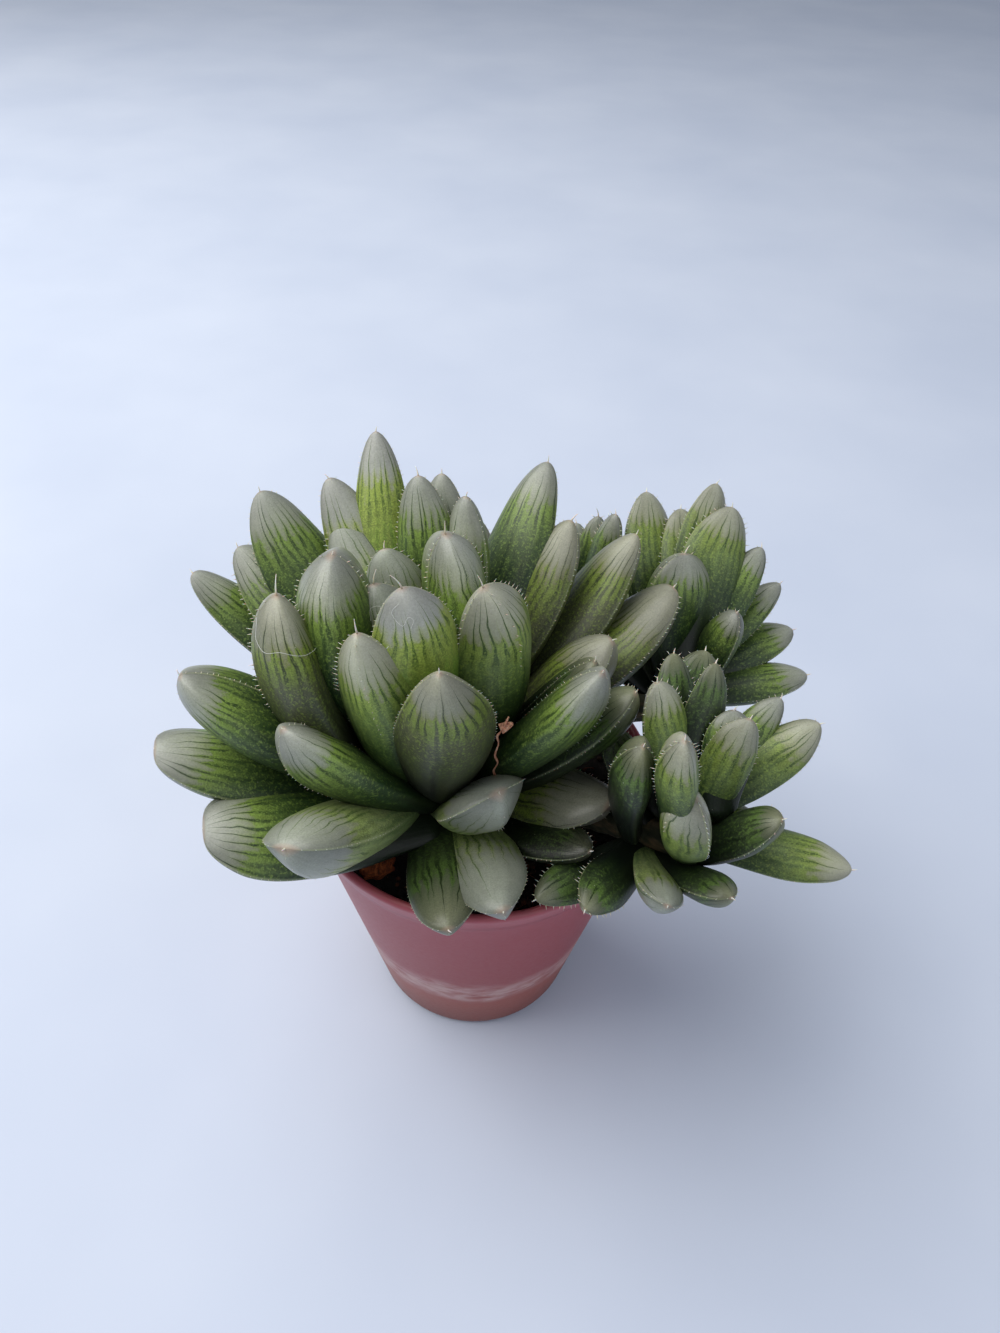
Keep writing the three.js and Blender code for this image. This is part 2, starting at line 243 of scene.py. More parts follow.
def make_piece(
    name: str, skin: Skin, finish: bpy.types.Material, nodes: tuple[str, ...]
) -> bpy.types.Object:
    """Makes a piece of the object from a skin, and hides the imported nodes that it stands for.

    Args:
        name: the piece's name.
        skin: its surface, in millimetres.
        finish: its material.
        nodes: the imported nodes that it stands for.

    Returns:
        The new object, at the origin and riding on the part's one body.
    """
    mesh = mesh_of(name, skin)
    if skin.uv is not None:
        corner = np.zeros(len(mesh.loops), np.int32)
        mesh.loops.foreach_get("vertex_index", corner)
        layer = mesh.uv_layers.new(name="skin")
        layer.data.foreach_set("uv", skin.uv[corner].astype(np.float32).ravel())
    for mark, values in skin.marks.items():
        attribute = mesh.attributes.new(mark, "FLOAT", "POINT")
        attribute.data.foreach_set("value", values.astype(np.float32))
    mesh.polygons.foreach_set("use_smooth", np.ones(len(mesh.polygons), bool))
    mesh.materials.append(finish)
    mesh.update()
    piece = bpy.data.objects.new(name, mesh)
    bpy.context.scene.collection.objects.link(piece)
    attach(piece, "root")
    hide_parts(*nodes)
    log.info("%s: %d faces", name, len(mesh.polygons))
    return piece


# Materials

def linear(code: str) -> tuple[float, float, float, float]:
    """Turns an sRGB hex colour to linear light.

    Args:
        code: the colour, as # and six hex digits.

    Returns:
        Linear red, green and blue, and a full alpha.
    """
    shares = [int(code[i : i + 2], 16) / 255 for i in (1, 3, 5)]
    curve = [s / 12.92 if s <= 0.04045 else ((s + 0.055) / 1.055) ** 2.4 for s in shares]
    return (*curve, 1.0)


def in_use(sockets: Any, key: str | int = 0) -> bpy.types.NodeSocket:
    """Finds a socket among those that are in use.

    Args:
        sockets: a node's inputs or outputs.
        key: the socket's name, or its place.

    Returns:
        The socket.
    """
    live = [s for s in sockets if s.enabled]
    if isinstance(key, int):
        return live[key]
    return next(s for s in live if s.name == key)


def fill(tree: bpy.types.NodeTree, node: bpy.types.Node, values: dict) -> None:
    """Fills a node's sockets. A node or a socket is linked, and a plain value is set.

    Args:
        tree: the material's node tree.
        node: the node.
        values: what each socket holds, by name or place.
    """
    for key, value in values.items():
        socket = in_use(node.inputs, key)
        if isinstance(value, bpy.types.Node):
            tree.links.new(in_use(value.outputs), socket)
        elif isinstance(value, bpy.types.NodeSocket):
            tree.links.new(value, socket)
        else:
            socket.default_value = value


def add(
    tree: bpy.types.NodeTree, kind: str, inputs: dict | None = None, stops: tuple = (), **settings: Any
) -> Any:
    """Adds a shader node with its settings, its values and its links.

    Args:
        tree: the material's node tree.
        kind: the node's type, without the ShaderNode that it starts with.
        inputs: what each socket holds, by name or place.
        stops: on a colour ramp, each stop's place from 0 to 1 and its sRGB hex colour.
        settings: the node's own properties.

    Returns:
        The node.
    """
    node = tree.nodes.new("ShaderNode" + kind)
    for name, value in settings.items():
        setattr(node, name, value)
    fill(tree, node, inputs or {})
    for _ in stops[2:]:
        node.color_ramp.elements.new(0.5)
    for i, (at, code) in enumerate(stops):
        node.color_ramp.elements[i].position = at
        node.color_ramp.elements[i].color = linear(code)
    return node


def start_material(name: str) -> tuple[bpy.types.Material, bpy.types.NodeTree, bpy.types.Node]:
    """Starts a material with one shader, linked to its output.

    Args:
        name: the material's name.

    Returns:
        The material, its node tree and the shader.
    """
    material = bpy.data.materials.new(name)
    material.use_nodes = True
    tree = material.node_tree
    tree.nodes.clear()
    shader = add(tree, "BsdfPrincipled")
    add(tree, "OutputMaterial", {"Surface": shader})
    return material, tree, shader


@dataclass(frozen=True)
class Hues:
    """A leaf's sRGB colours, from its foot up over its window to its tip, and of its veins."""

    # The foot and low colours are nearly black: partly the leaf's own dark green, partly painted shade deep
    # in the rosette
    foot: str
    low: str
    body: str
    edge: str
    hem: str
    glass: str
    tip: str
    vein: str


class Tone(Enum):
    """How sun and age colour a leaf, with painted shade on the darkest.

    GREEN is the common one, FERN a lighter one, LIME a young leaf, DUSK one that the sun has
    turned brown, DEEP a darker one, partly a leaf grown in shade and partly painted shade for a
    leaf that sits in shadow, PALE an old low leaf that is nearly all window.
    """

    GREEN = Hues("#101c0b", "#22381a", "#475b2d", "#72893f", "#7f8965", "#919684", "#8e9189", "#26391c")
    FERN = Hues("#131f0d", "#2f431e", "#61743f", "#788a40", "#888e66", "#979a82", "#9a9b8c", "#344a20")
    LIME = Hues("#1f2f10", "#587928", "#7c8c3f", "#8a9b45", "#9ba373", "#a1a499", "#999a94", "#3b551f")
    DUSK = Hues("#1a1d11", "#3a4128", "#505439", "#728437", "#7b7e54", "#8a8c77", "#969685", "#2d3620")
    # Darker than GREEN partly by painted shade, for leaves that sit in shadow
    DEEP = Hues("#0a130a", "#1b2914", "#344227", "#526a32", "#555f45", "#626950", "#787b62", "#182410")
    PALE = Hues("#1e2b16", "#586c40", "#798658", "#859558", "#8f9577", "#909586", "#8c9185", "#445a2a")


@dataclass(frozen=True)
class LeafPlan:
    """The sockets that a leaf's patterns are drawn from.

    Fields:
        marks: the leaf's own marks, by name.
        place: where on the leaf, in metres.
        along: the share of the length.
        wide: the distance from the middle line, which is 0.5 at the margins.
        level: the height over the window's start.
        stretched: the share of the length, for patterns that run along the leaf.
        lane: the place across the leaf, counted in veins.
        luck: three chances that each vein has drawn.
        apart: the distance from the lane's vein, in lanes.
        blot, warts: the coarse and the fine noise of the skin.
    """

    marks: dict[str, Any]
    place: Any
    along: Any
    wide: Any
    level: Any
    stretched: Any
    lane: Any
    luck: Any
    apart: Any
    blot: Any
    warts: Any


@dataclass(frozen=True)
class LeafFinish:
    """A haworthia leaf: a taut, waxy skin over clear water tissue.

    The green cells stop short of the tip, so the last fifth is a window of grey-green glass
    with dark veins running up into it. Where it starts, the green ends in bright fingers. Light
    goes some way in, so the tips glow softly. Fine warts give the skin a satin grain.

    A height is counted from where the window starts. The tip is always 12 above it, so a short
    leaf has a finer pattern than a long one.

    Fields:
        tone: the leaf's colours.
        roughness: of the clear skin of the window.
        depth: how far light goes in, in metres.
        wart, blotch, fleck: the pitch of the warts, blotches and flecks of dust, in metres.
        sway: how far a vein's lane wavers, of the leaf's width.
        seat: where in its lane a vein may run.
        reach: the heights between which the veins end.
        vein: half a vein's width in the window, of its lane.
        root: what is added to it where the window starts.
        finger: how high the green climbs beside a vein.
        ragged: how far the green's edge strays.
        flank: how high the green climbs at the margins.
        heights: the heights at which the tone's colours start and end.
        stops: where between them each colour stands.
        streak: the heights between which the bright streaks start.
        glow: how strong the green is round a vein's root.
        ink: how strong a vein is.
        still: how far the window keeps the body's mottle.
        milk, shadow: the painted highlight at the window's middle and the painted shade at its margins, as
            factors on its colour.
        dust, margin, dry: the colours of the flecks, the margins and the very tip.
    """

    tone: Tone
    roughness: float = 0.24
    depth: float = 0.8 * MM
    wart: float = 0.22 * MM
    blotch: float = 1.5 * MM
    fleck: float = 1.1 * MM
    sway: float = 0.075
    seat: tuple[float, float] = (0.24, 0.76)
    reach: tuple[float, float] = (2.0, 12.5)
    vein: float = 0.095
    root: float = 0.19
    finger: float = 8.0
    ragged: float = 2.6
    flank: float = 4.5
    heights: tuple[float, float] = (-36.0, 12.0)
    stops: tuple[float, ...] = (0.0, 0.375, 0.60, 0.73, 0.757, 0.84, 1.0)
    streak: tuple[float, float] = (-1.0, -8.0)
    glow: float = 0.6
    ink: float = 0.9
    still: float = 0.36
    painted_highlight: float = 1.14
    shadow: float = 0.68
    dust: str = "#c4c8b2"
    margin: str = "#a9b183"
    dry: str = "#a58b7a"

    def plan(self, tree: bpy.types.NodeTree) -> LeafPlan:
        """Lays out the leaf: its marks, its heights, and its veins' lanes with their chances.

        Args:
            tree: the material's node tree.

        Returns:
            The sockets that the patterns are drawn from.
        """
        marks = {
            name: add(tree, "Attribute", attribute_name=name).outputs["Fac"]
            for name in ("seed", "veins", "window", "upper", "scale", "light")
        }
        parts = add(tree, "SeparateXYZ", {0: add(tree, "UVMap", uv_map="skin")})
        across, along = parts.outputs["X"], parts.outputs["Y"]
        place = add(tree, "TexCoord").outputs["Object"]
        middle = add(tree, "Math", {0: across, 1: 0.5}, operation="SUBTRACT")
        wide = add(tree, "Math", {0: middle}, operation="ABSOLUTE")
        over = add(tree, "Math", {0: along, 1: marks["window"]}, operation="SUBTRACT")
        level = add(tree, "Math", {0: over, 1: marks["scale"]}, operation="MULTIPLY")

        # Each vein has a lane of its own, which wavers a little on its way up
        broad = add(tree, "Math", {0: across, 1: 4.0}, operation="MULTIPLY")
        stretched = add(tree, "Math", {0: along, 1: 6.0}, operation="MULTIPLY")
        wavy = add(tree, "CombineXYZ", {"X": broad, "Y": stretched, "Z": marks["seed"]})
        waver = add(tree, "TexNoise", {"Vector": wavy, "Scale": 1.0, "Detail": 2.0})
        sway = add(tree, "MapRange", {"Value": waver, "To Min": -self.sway, "To Max": self.sway})
        swayed = add(tree, "Math", {0: across, 1: sway}, operation="ADD")
        lane = add(tree, "Math", {0: swayed, 1: marks["veins"]}, operation="MULTIPLY")
        number = add(tree, "Math", {0: lane}, operation="FLOOR")
        inside = add(tree, "Math", {0: lane}, operation="FRACT")
        draw = add(tree, "CombineXYZ", {"X": number, "Y": marks["seed"], "Z": marks["upper"]})
        chance = add(tree, "TexWhiteNoise", {"Vector": draw}, noise_dimensions="3D")
        luck = add(tree, "SeparateXYZ", {0: chance.outputs["Color"]}).outputs
        seat = add(tree, "MapRange", {"Value": luck["Z"], "To Min": self.seat[0],
                                      "To Max": self.seat[1]})
        offset = add(tree, "Math", {0: inside, 1: seat}, operation="SUBTRACT")
        apart = add(tree, "Math", {0: offset}, operation="ABSOLUTE")
        blot = add(tree, "TexNoise", {"Vector": place, "Scale": 1 / self.blotch, "Detail": 5.0,
                                      "Roughness": 0.62})
        warts = add(tree, "TexNoise", {"Vector": place, "Scale": 1 / self.wart, "Detail": 2.0})
        return LeafPlan(marks, place, along, wide, level, stretched, lane, luck, apart, blot, warts)

    def veins(self, tree: bpy.types.NodeTree, plan: LeafPlan) -> tuple[Any, Any]:
        """Draws the veins. Each is broad at its root, then a thin line that fades out.

        Args:
            tree: the material's node tree.
            plan: the leaf's sockets.

        Returns:
            How far a point is in a vein, and in the soft halo round it, from 0 to 1.
        """
        reach = add(tree, "MapRange", {"Value": plan.luck["X"], "To Min": self.reach[0],
                                       "To Max": self.reach[1]})
        left = add(tree, "Math", {0: reach, 1: plan.level}, operation="SUBTRACT")
        slim = add(tree, "MapRange", {"Value": left, "From Min": -1.0, "From Max": 5.0,
                                      "To Min": 0.0, "To Max": self.vein})
        root = add(tree, "MapRange", {"Value": plan.level, "From Min": 3.0, "From Max": -3.5,
                                      "To Min": 0.0, "To Max": self.root})
        slim = add(tree, "Math", {0: slim, 1: root}, operation="ADD")
        core = add(tree, "Math", {0: slim, 1: 0.6}, operation="MULTIPLY")
        vein = add(tree, "MapRange", {"Value": plan.apart, "From Min": slim, "From Max": core},
                   interpolation_type="SMOOTHSTEP")
        fat = add(tree, "Math", {0: slim, 1: 2.4, 2: 0.04}, operation="MULTIPLY_ADD")
        halo = add(tree, "MapRange", {"Value": plan.apart, "From Min": fat, "From Max": 0.0},
                   interpolation_type="SMOOTHSTEP")
        return vein, halo

    def height(self, tree: bpy.types.NodeTree, plan: LeafPlan) -> Any:
        """Works out the height over the green's edge.

        The edge has a finger at each vein, strays with the blotches, and climbs the margins. All
        three fade out towards the tip.

        Args:
            tree: the material's node tree.
            plan: the leaf's sockets.

        Returns:
            The height, which is 0 on the edge.
        """
        close = add(tree, "MapRange", {"Value": plan.apart, "From Min": 0.5, "From Max": 0.05})
        peak = add(tree, "Math", {0: close, 1: 2.0}, operation="POWER")
        tall = add(tree, "Math", {0: plan.luck["Z"], 1: self.finger}, operation="MULTIPLY")
        finger = add(tree, "Math", {0: peak, 1: tall}, operation="MULTIPLY")
        ragged = add(tree, "MapRange", {"Value": plan.blot, "From Min": 0.25, "From Max": 0.75,
                                        "To Min": -self.ragged, "To Max": self.ragged})
        flank = add(tree, "MapRange", {"Value": plan.wide, "From Min": 0.30, "From Max": 0.5,
                                       "To Min": 0.0, "To Max": self.flank})
        rise = add(tree, "Math", {0: finger, 1: ragged}, operation="ADD")
        rise = add(tree, "Math", {0: rise, 1: flank}, operation="ADD")
        near = add(tree, "MapRange", {"Value": plan.level, "From Min": 8.0, "From Max": 0.5},
                   interpolation_type="SMOOTHSTEP")
        rise = add(tree, "Math", {0: rise, 1: near}, operation="MULTIPLY")
        return add(tree, "Math", {0: plan.level, 1: rise}, operation="SUBTRACT")

    def paint(self, tree: bpy.types.NodeTree, plan: LeafPlan, height: Any, vein: Any, halo: Any) -> Any:
        """Paints the tone's colours by height, the bright streaks and roots, and the veins.

        Args:
            tree: the material's node tree.
            plan: the leaf's sockets.
            height: the height over the green's edge.
            vein, halo: how far a point is in a vein and round it.

        Returns:
            The colour.
        """
        hues = self.tone.value
        codes = (hues.foot, hues.low, hues.body, hues.edge, hues.hem, hues.glass, hues.tip)
        # Darker towards the foot, partly painted shade where the leaves crowd deep in the rosette
        share = add(tree, "MapRange", {"Value": height, "From Min": self.heights[0],
                                       "From Max": self.heights[1]})
        colour = add(tree, "ValToRGB", {0: share}, stops=tuple(zip(self.stops, codes)))

        # Bright streaks where the green starts, longer in some lanes than in others
        low = add(tree, "MapRange", {"Value": plan.luck["Y"], "To Min": self.streak[0],
                                     "To Max": self.streak[1]})
        rising = add(tree, "MapRange", {"Value": height, "From Min": low, "From Max": -0.5})
        ending = add(tree, "MapRange", {"Value": height, "From Min": 1.2, "From Max": 0.0})
        streak = add(tree, "Math", {0: rising, 1: ending}, operation="MULTIPLY")
        patchy = add(tree, "MapRange", {"Value": plan.blot, "From Min": 0.4, "From Max": 0.6,
                                        "To Min": 0.1, "To Max": 0.9})
        streak = add(tree, "Math", {0: streak, 1: patchy}, operation="MULTIPLY")
        rooted = add(tree, "MapRange", {"Value": height, "From Min": -9.0, "From Max": -3.5})
        glow = add(tree, "MapRange", {"Value": height, "From Min": 8.0, "From Max": 0.0,
                                      "To Min": 0.05, "To Max": self.glow})
        tint = add(tree, "Math", {0: halo, 1: glow}, operation="MULTIPLY")
        tint = add(tree, "Math", {0: tint, 1: rooted}, operation="MULTIPLY")
        bright = add(tree, "Math", {0: streak, 1: tint}, operation="MAXIMUM")
        colour = add(tree, "Mix", {"Factor": bright, "A": colour, "B": linear(hues.edge)},
                     data_type="RGBA")
        dark = add(tree, "Math", {0: vein, 1: rooted}, operation="MULTIPLY")
        dark = add(tree, "Math", {0: dark, 1: self.ink}, operation="MULTIPLY")
        return add(tree, "Mix", {"Factor": dark, "A": colour, "B": linear(hues.vein)},
                   data_type="RGBA")

    def mottle(self, tree: bpy.types.NodeTree, plan: LeafPlan, height: Any, colour: Any) -> Any:
        """Mottles the body, paints light and shade on the window and the leaf, and scatters flecks of dust.

        The body is blotched, streaked and warty, with bright grains, and the window is nearly
        clear of all four. The window has a painted highlight at its middle and painted shade at its
        margins. The mark "light" scales the whole colour: partly the leaf's own, partly painted light
        and shade for where it sits.

        Args:
            tree: the material's node tree.
            plan: the leaf's sockets.
            height: the height over the green's edge.
            colour: the colour so far.

        Returns:
            The colour.
        """
        grains = add(tree, "TexNoise", {"Vector": plan.place, "Scale": 0.5 / self.wart, "Detail": 3.0})
        bright = add(tree, "MapRange", {"Value": grains, "From Min": 0.51, "From Max": 0.66,
                                        "To Min": 0.0, "To Max": 0.7})
        below = add(tree, "MapRange", {"Value": height, "From Min": 1.0, "From Max": -2.5})
        upward = add(tree, "MapRange", {"Value": height, "From Min": -30.0, "From Max": -8.0})
        bright = add(tree, "Math", {0: bright, 1: below}, operation="MULTIPLY")
        bright = add(tree, "Math", {0: bright, 1: upward}, operation="MULTIPLY")
        colour = add(tree, "Mix", {"Factor": bright, "A": colour, "B": linear(self.tone.value.edge)},
                     data_type="RGBA")

        busy = add(tree, "MapRange", {"Value": height, "From Min": 3.0, "From Max": -2.0,
                                      "To Min": self.still, "To Max": 1.0})
        dense = add(tree, "Math", {0: plan.lane, 1: 1.7}, operation="MULTIPLY")
        fibre = add(tree, "CombineXYZ", {"X": dense, "Y": plan.stretched, "Z": plan.marks["seed"]})
        fibres = add(tree, "TexNoise", {"Vector": fibre, "Scale": 1.0, "Detail": 3.0})
        rough = add(tree, "Math", {0: plan.warts, 1: 1.6, 2: -0.8}, operation="MULTIPLY_ADD")
        for cloud, depth in ((plan.blot, 0.9), (fibres, 0.7)):
            rough = add(tree, "Math", {0: cloud, 1: depth, 2: rough}, operation="MULTIPLY_ADD")
            rough = add(tree, "Math", {0: rough, 1: depth / 2}, operation="SUBTRACT")
        # The mark "light" scales the leaf's whole colour: partly its own colour, partly painted light and
        # shade for where it sits
        shade = add(tree, "Math", {0: rough, 1: busy, 2: plan.marks["light"]},
                    operation="MULTIPLY_ADD")
        # Painted highlight on the window's middle and painted shade towards its margins, as light through
        # the clear tissue looks
        outer = add(tree, "MapRange", {"Value": plan.level, "From Min": -1.0, "From Max": 4.0,
                                       "To Min": 0.95, "To Max": self.shadow})
        painted_window_light = add(tree, "MapRange", {"Value": plan.wide, "From Min": 0.08, "From Max": 0.5,
                                        "To Min": self.painted_highlight, "To Max": outer})
        shade = add(tree, "Math", {0: shade, 1: painted_window_light}, operation="MULTIPLY")
        colour = add(tree, "Mix", {"Factor": 1.0, "A": colour, "B": shade},
                     data_type="RGBA", blend_type="MULTIPLY")

        # A fleck's radius is up to a tenth of its cell, and some cells have none to speak of
        dots = add(tree, "TexVoronoi", {"Vector": plan.place, "Scale": 1 / self.fleck})
        some = add(tree, "SeparateXYZ", {0: dots.outputs["Color"]})
        size = add(tree, "Math", {0: some, 1: 0.13, 2: -0.04}, operation="MULTIPLY_ADD")
        size = add(tree, "Math", {0: size, 1: 0.01}, operation="MAXIMUM")
        speck = add(tree, "MapRange", {"Value": dots, "From Min": size, "From Max": 0.0,
                                       "To Min": 0.0, "To Max": 0.9})
        return add(tree, "Mix", {"Factor": speck, "A": colour, "B": linear(self.dust)},
                   data_type="RGBA")

    def trim(self, tree: bpy.types.NodeTree, plan: LeafPlan, colour: Any) -> Any:
        """Pales the thin margins and dries the very tip.

        Args:
            tree: the material's node tree.
            plan: the leaf's sockets.
            colour: the colour so far.

        Returns:
            The colour.
        """
        rim = add(tree, "MapRange", {"Value": plan.wide, "From Min": 0.480, "From Max": 0.5,
                                     "To Min": 0.0, "To Max": 0.5})
        late = add(tree, "MapRange", {"Value": plan.along, "From Min": 0.35, "From Max": 0.75})
        rim = add(tree, "Math", {0: rim, 1: late}, operation="MULTIPLY")
        colour = add(tree, "Mix", {"Factor": rim, "A": colour, "B": linear(self.margin)},
                     data_type="RGBA")
        dry = add(tree, "MapRange", {"Value": plan.level, "From Min": 11.5, "From Max": 12.0,
                                     "To Min": 0.0, "To Max": 0.6})
        return add(tree, "Mix", {"Factor": dry, "A": colour, "B": linear(self.dry)},
                   data_type="RGBA")

    def material(self) -> bpy.types.Material:
        """Builds the leaf material, which reads the leaf's uv and its marks.

        Returns:
            The material.
        """
        made, tree, shader = start_material(f"leaf_skin_{self.tone.name.lower()}")
        plan = self.plan(tree)
        vein, halo = self.veins(tree, plan)
        height = self.height(tree, plan)
        colour = self.paint(tree, plan, height, vein, halo)
        colour = self.mottle(tree, plan, height, colour)
        colour = self.trim(tree, plan, colour)
        relief = add(tree, "Math", {0: vein, 1: -0.4, 2: plan.warts}, operation="MULTIPLY_ADD")
        bump = add(tree, "Bump", {"Strength": 0.35, "Distance": 0.06 * MM, "Height": relief})
        clean = add(tree, "MapRange", {"Value": height, "From Min": -2.0, "From Max": 4.0,
                                       "To Min": self.roughness + 0.10, "To Max": self.roughness})
        gloss = add(tree, "Math", {0: plan.warts, 1: 0.16, 2: clean}, operation="MULTIPLY_ADD")
        fill(tree, shader, {
            "Base Color": colour, "Roughness": gloss, "Normal": bump, "IOR": 1.46,
            "Subsurface Weight": 0.2, "Subsurface Radius": (0.9, 1.0, 0.5),
            "Subsurface Scale": self.depth,
        })
        return made


@dataclass(frozen=True)
class ThornFinish:
    """The leaf's teeth and bristles: dry, clear horn, which catches the light as white."""

    roughness: float = 0.42
    depth: float = 0.2 * MM

    def material(self) -> bpy.types.Material:
        """Builds the horn, white to the point, and brown where the mark "withered" is 1.

        Returns:
            The material.
        """
        made, tree, shader = start_material("tooth_horn")
        along = add(tree, "Attribute", attribute_name="along").outputs["Fac"]
        withered = add(tree, "Attribute", attribute_name="withered").outputs["Fac"]
        colour = add(tree, "ValToRGB", {0: along}, stops=(
            (0.0, "#b9c19f"), (0.35, "#e0dccb"), (1.0, "#ece8de"),
        ))
        colour = add(tree, "Mix", {"Factor": withered, "A": colour, "B": linear("#a98670")},
                     data_type="RGBA")
        fill(tree, shader, {"Base Color": colour, "Roughness": self.roughness,
                            "Subsurface Weight": 0.3, "Subsurface Scale": self.depth})
        return made


@dataclass(frozen=True)
class PotFinish:
    """Thin moulded polypropylene: an even satin skin, a little waxy, scuffed, and lime-marked in a
    pale band that is partly a painted reflection of the floor.

    Fields:
        roughness: of the plastic.
        cloud, scuff: the pitch of its clouds and of its scuffs, in metres.
        rim: the height at which its colours end.
        lime_and_reflection_band: the heights between which the pale band of lime and painted reflection
            comes in and goes out.
        lime: the band's colour, for both the lime and the painted reflection.
    """

    roughness: float = 0.36
    cloud: float = 9 * MM
    scuff: float = 0.7 * MM
    rim: float = 50 * MM
    lime_and_reflection_band: tuple[float, float, float, float] = (11.5 * MM, 15 * MM, 17 * MM, 22 * MM)
    lime: str = "#c9a9a4"

    def material(self) -> bpy.types.Material:
        """Builds the plastic, with its pale band of lime marks and painted reflection, and its fine scuffs.

        Returns:
            The material.
        """
        made, tree, shader = start_material("pot_polypropylene")
        place = add(tree, "TexCoord").outputs["Object"]
        height = add(tree, "SeparateXYZ", {0: place}).outputs["Z"]
        clouds = add(tree, "TexNoise", {"Vector": place, "Scale": 1 / self.cloud, "Detail": 3.0})
        drift = add(tree, "MapRange", {"Value": clouds, "To Min": -2.5 * MM, "To Max": 2.5 * MM})
        level = add(tree, "Math", {0: height, 1: drift}, operation="ADD")
        share = add(tree, "MapRange", {"Value": level, "From Min": 0.0, "From Max": self.rim})
        colour = add(tree, "ValToRGB", {0: share}, stops=(
            (0.0, "#7a3829"), (0.22, "#964433"), (0.42, "#93363a"), (0.8, "#98373f"),
            (0.92, "#9e404a"), (0.97, "#a7515a"),
        ))
        flat = add(tree, "Mapping", {"Vector": place, "Scale": (1.0, 1.0, 2.5)})
        marks = add(tree, "TexNoise", {"Vector": flat, "Scale": 0.2 / self.scuff, "Detail": 4.0,
                                       "Roughness": 0.5})
        lime = add(tree, "MapRange", {"Value": marks, "From Min": 0.30, "From Max": 0.62})
        # A pale band on the lower wall: partly lime marks, partly a painted reflection of the floor
        start, full, last, end = self.lime_and_reflection_band
        band = add(tree, "MapRange", {"Value": level, "From Min": start, "From Max": full},
                   interpolation_type="SMOOTHSTEP")
        over = add(tree, "MapRange", {"Value": level, "From Min": end, "From Max": last},
                   interpolation_type="SMOOTHSTEP")
        lime_and_reflection_band = add(tree, "Math", {0: band, 1: over}, operation="MULTIPLY")
        lime_and_reflection = add(tree, "Math", {0: lime_and_reflection_band, 1: lime}, operation="MULTIPLY")
        lime_and_reflection = add(tree, "MapRange", {"Value": lime_and_reflection, "To Min": 0.0, "To Max": 0.72})
        colour = add(tree, "Mix", {"Factor": lime_and_reflection, "A": colour, "B": linear(self.lime)},
                     data_type="RGBA")
        fine = add(tree, "TexNoise", {"Vector": flat, "Scale": 1 / self.scuff, "Detail": 3.0})
        gloss = add(tree, "MapRange", {"Value": fine, "To Min": self.roughness - 0.05,
                                       "To Max": self.roughness + 0.12})
        bump = add(tree, "Bump", {"Strength": 0.12, "Distance": 0.04 * MM, "Height": fine})
        fill(tree, shader, {
            "Base Color": colour, "Roughness": gloss, "Normal": bump, "IOR": 1.49,
            "Subsurface Weight": 0.12, "Subsurface Scale": 0.8 * MM,
        })
        return made


@dataclass(frozen=True)
class PeatFinish:
    """Peat and coir: dull, nearly black when damp, with rusty crumbs and a few dry fibres."""

    crumb: float = 1.1 * MM

    def material(self) -> bpy.types.Material:
        """Builds the potting mix. The mark "shade" lightens a crumb.

        Returns:
            The material.
        """
        made, tree, shader = start_material("potting_peat")
        place = add(tree, "TexCoord").outputs["Object"]
        shade = add(tree, "Attribute", attribute_name="shade").outputs["Fac"]
        lumps = add(tree, "TexNoise", {"Vector": place, "Scale": 1 / self.crumb, "Detail": 5.0})
        mixed = add(tree, "Math", {0: lumps, 1: shade}, operation="ADD")
        colour = add(tree, "ValToRGB", {0: mixed}, stops=(
            (0.30, "#0d0a08"), (0.55, "#1f1712"), (0.75, "#3a251a"), (1.0, "#6b3b22"),
        ))
        bump = add(tree, "Bump", {"Strength": 0.7, "Distance": 0.35 * MM, "Height": lumps})
        fill(tree, shader, {"Base Color": colour, "Normal": bump, "Roughness": 0.92})
        return made


@dataclass(frozen=True)
class LayeredFinish:
    """A dull tissue in layers or fibres, which one stretched noise colours and raises.

    Fields:
        name: the material's name.
        pitch: the width of a fibre, in metres.
        stretch: how fine the noise is each way, where less than 1 is longer.
        stops: the colours, from the cracks up.
        strength, relief: how strongly and how far, in metres, the fibres stand out.
        roughness: of the surface.
        detail, harsh: the noise's detail and roughness.
        soft, depth: how much light goes in, and how far, in metres.
    """

    name: str
    pitch: float
    stretch: tuple[float, float, float]
    stops: tuple[tuple[float, str], ...]
    strength: float
    relief: float
    roughness: float
    detail: float = 5.0
    harsh: float = 0.5
    soft: float = 0.0
    depth: float = 0.4 * MM

    def material(self) -> bpy.types.Material:
        """Builds the tissue.

        Returns:
            The material.
        """
        made, tree, shader = start_material(self.name)
        place = add(tree, "TexCoord").outputs["Object"]
        layers = add(tree, "Mapping", {"Vector": place, "Scale": self.stretch})
        fibres = add(tree, "TexNoise", {"Vector": layers, "Scale": 1 / self.pitch,
                                        "Detail": self.detail, "Roughness": self.harsh})
        colour = add(tree, "ValToRGB", {0: fibres}, stops=self.stops)
        bump = add(tree, "Bump", {"Strength": self.strength, "Distance": self.relief,
                                  "Height": fibres})
        fill(tree, shader, {
            "Base Color": colour, "Normal": bump, "Roughness": self.roughness,
            "Subsurface Weight": self.soft, "Subsurface Scale": self.depth,
        })
        return made


@dataclass(frozen=True)
class BarkFinish(LayeredFinish):
    """Composted pine bark: rusty orange layers, fibrous and dull, dark in the cracks."""

    name: str = "pine_bark"
    pitch: float = 0.5 * MM
    stretch: tuple[float, float, float] = (1.0, 0.35, 2.2)
    stops: tuple[tuple[float, str], ...] = (
        (0.30, "#34180c"), (0.45, "#7d3b19"), (0.58, "#ad5a2a"), (0.75, "#cf8348"),
    )
    strength: float = 0.8
    relief: float = 0.3 * MM
    roughness: float = 0.85
    detail: float = 6.0
    harsh: float = 0.7


